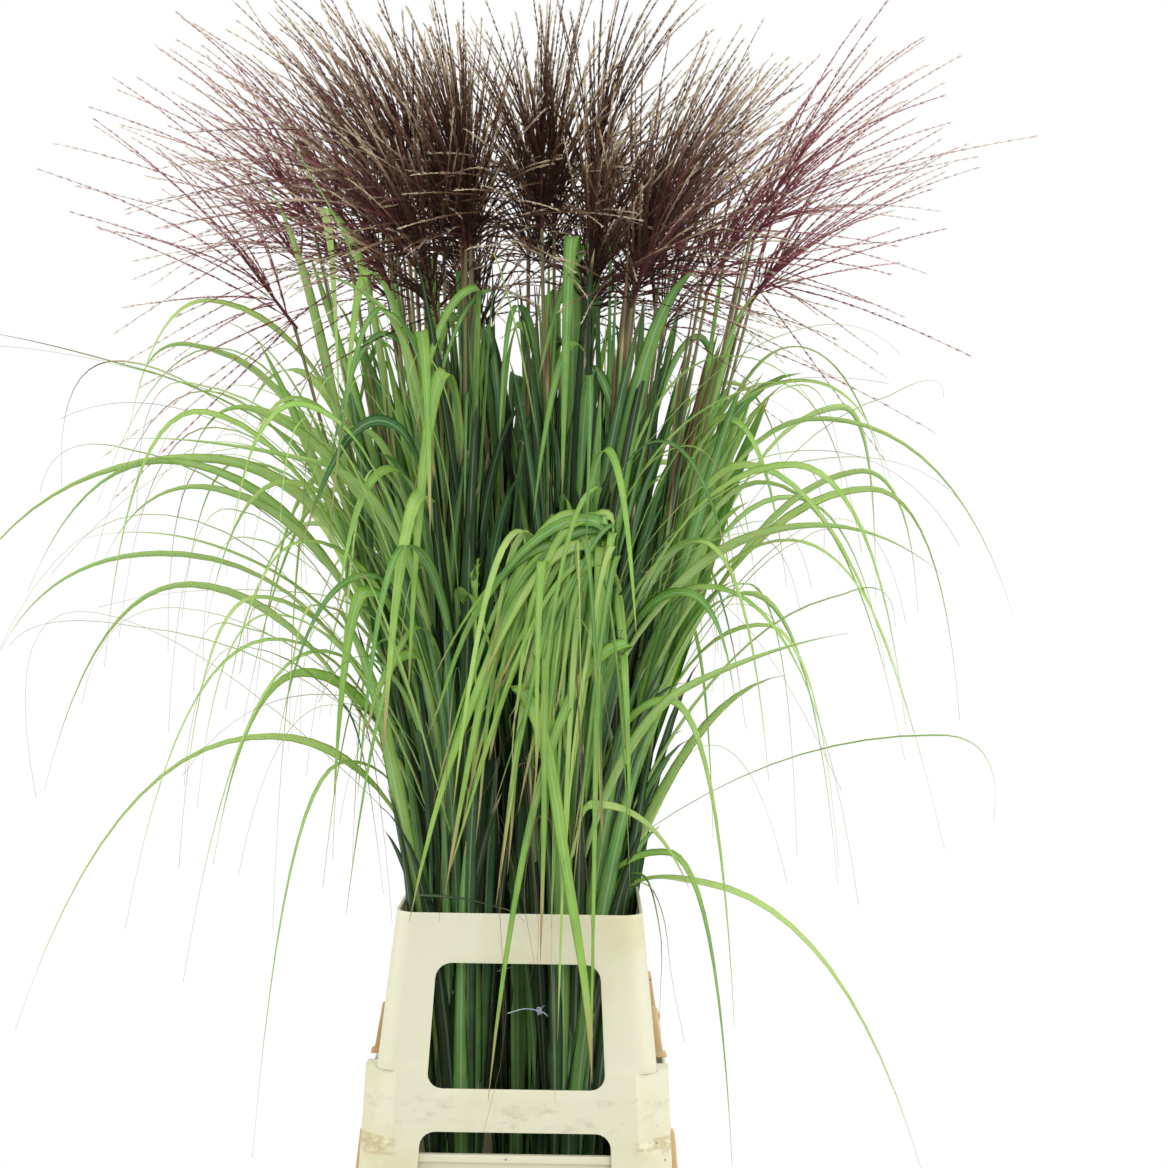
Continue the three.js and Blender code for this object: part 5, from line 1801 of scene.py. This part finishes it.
studio = {
    "floorRadius": 900,
    "floorSides": 96,
    "floorHeight": -0.5,
    "room": 0.5,
    "screen": (0.2, 0.85),
    "lamps": [
        {"name": "left_softbox", "at": (-2.6, -0.2, 1.7), "size": 1.8, "power": 45},
        {"name": "right_softbox", "at": (2.6, -0.2, 1.7), "size": 1.8, "power": 45},
        {"name": "front_softbox", "at": (0.4, -3.2, 2.4), "size": 2.4, "power": 74},
    ],
    "lookAt": (0.0, 0.0, 0.75),
}

camera = {
    "at": (0.0583, -2.350, 0.8636),
    "rollDegrees": -0.9,
    "lens": 68.67,
    "sensor": 36.0,
}


# A round floor, the surroundings and the lamps, each turned to look at the same place
def makeStudio():
    turn = np.linspace(0, 2 * math.pi, studio["floorSides"], endpoint=False)
    radius, height = studio["floorRadius"], studio["floorHeight"]
    rim = np.stack([radius * np.cos(turn), radius * np.sin(turn), np.full(len(turn), height)], -1)
    material, tree = newMaterial("pale_floor")
    colour = mixNode(tree, noiseNode(tree, spotNode(tree), 2.0), tone("f2f2ee"), tone("fafaf7"))
    finishMaterial(tree, addNode(tree, "BsdfPrincipled", {"Base Color": colour, "Roughness": 0.7}))
    floor = putMesh("floor", rim, [(np.arange(len(rim))[None], 0)], [material])
    world = bpy.data.worlds.new("white_surroundings")
    world.use_nodes = True
    tree = world.node_tree
    tree.nodes.clear()
    direction = addNode(tree, "TexCoord").outputs["Generated"]
    behind = addNode(tree, "SeparateXYZ", {0: direction}).outputs[1]
    screen = times(tree, stepNode(tree, behind, *studio["screen"]), 1 - studio["room"])
    strength = plus(tree, studio["room"], screen)
    background = addNode(tree, "Background", {"Color": (1, 1, 1, 1), "Strength": strength})
    addNode(tree, "OutputWorld", {"Surface": background.outputs[0]})
    bpy.context.scene.world = world
    bpy.context.scene.view_settings.view_transform = "Standard"
    for lamp in studio["lamps"]:
        light = bpy.data.lights.new(lamp["name"], "AREA")
        light.size = lamp["size"]
        light.energy = lamp["power"]
        holder = bpy.data.objects.new(lamp["name"], light)
        aim = np.array(studio["lookAt"]) - np.array(lamp["at"])
        flat = math.hypot(aim[0], aim[1])
        holder.location = lamp["at"]
        holder.rotation_euler = (math.atan2(flat, -aim[2]), 0, math.atan2(-aim[0], aim[1]))
        bpy.context.scene.collection.objects.link(holder)


def makeCamera():
    lens = bpy.data.cameras.new("photo_camera")
    lens.lens = camera["lens"]
    lens.sensor_width = camera["sensor"]
    lens.dof.use_dof = False
    holder = bpy.data.objects.new("photo_camera", lens)
    holder.location = camera["at"]
    holder.rotation_euler = (math.radians(90), math.radians(camera["rollDegrees"]), 0)
    bpy.context.scene.collection.objects.link(holder)
    bpy.context.scene.camera = holder


makeCamera()
makeStudio()
growGrass()

cream = plasticMaterial("cream_plastic", "e0dfc4", "d6cfa4", "e0b270", 0.1)
# The ribs' tan is painted backlight: the same cream plastic, coloured as it looks glowing with light that
# shines through it from behind
backlitCream = plasticMaterial("backlit_cream_plastic", "ead2a2", "d9b478", "f0c27c", 0.3)
makeCollar(cream)
makeRibs(backlitCream)
makeBucket(cream)
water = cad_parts["water"]
water.data.materials.clear()
water.data.materials.append(waterMaterial())

twineFinish = twineMaterial()
for bunch in stems["bunches"]:
    makeTie(bunch, twineFinish)

leafFinish = leafMaterial()
culmFinish = culmMaterial()
plumeFinish = plumeMaterial()
leafRandom = np.random.default_rng(blades["seed"])
plumeRandom = np.random.default_rng(feather["seed"])
for number, bunch in enumerate(stems["bunches"]):
    makeBunch(bunch, leafFinish, culmFinish, leafRandom)
    makePlumes(bunch, 1 + number * stems["inBunch"], plumeFinish, plumeRandom)

meshes = [piece.data for piece in bpy.data.objects if piece.type == "MESH"]
print("triangles:", sum(len(mesh.loops) - 2 * len(mesh.polygons) for mesh in meshes))
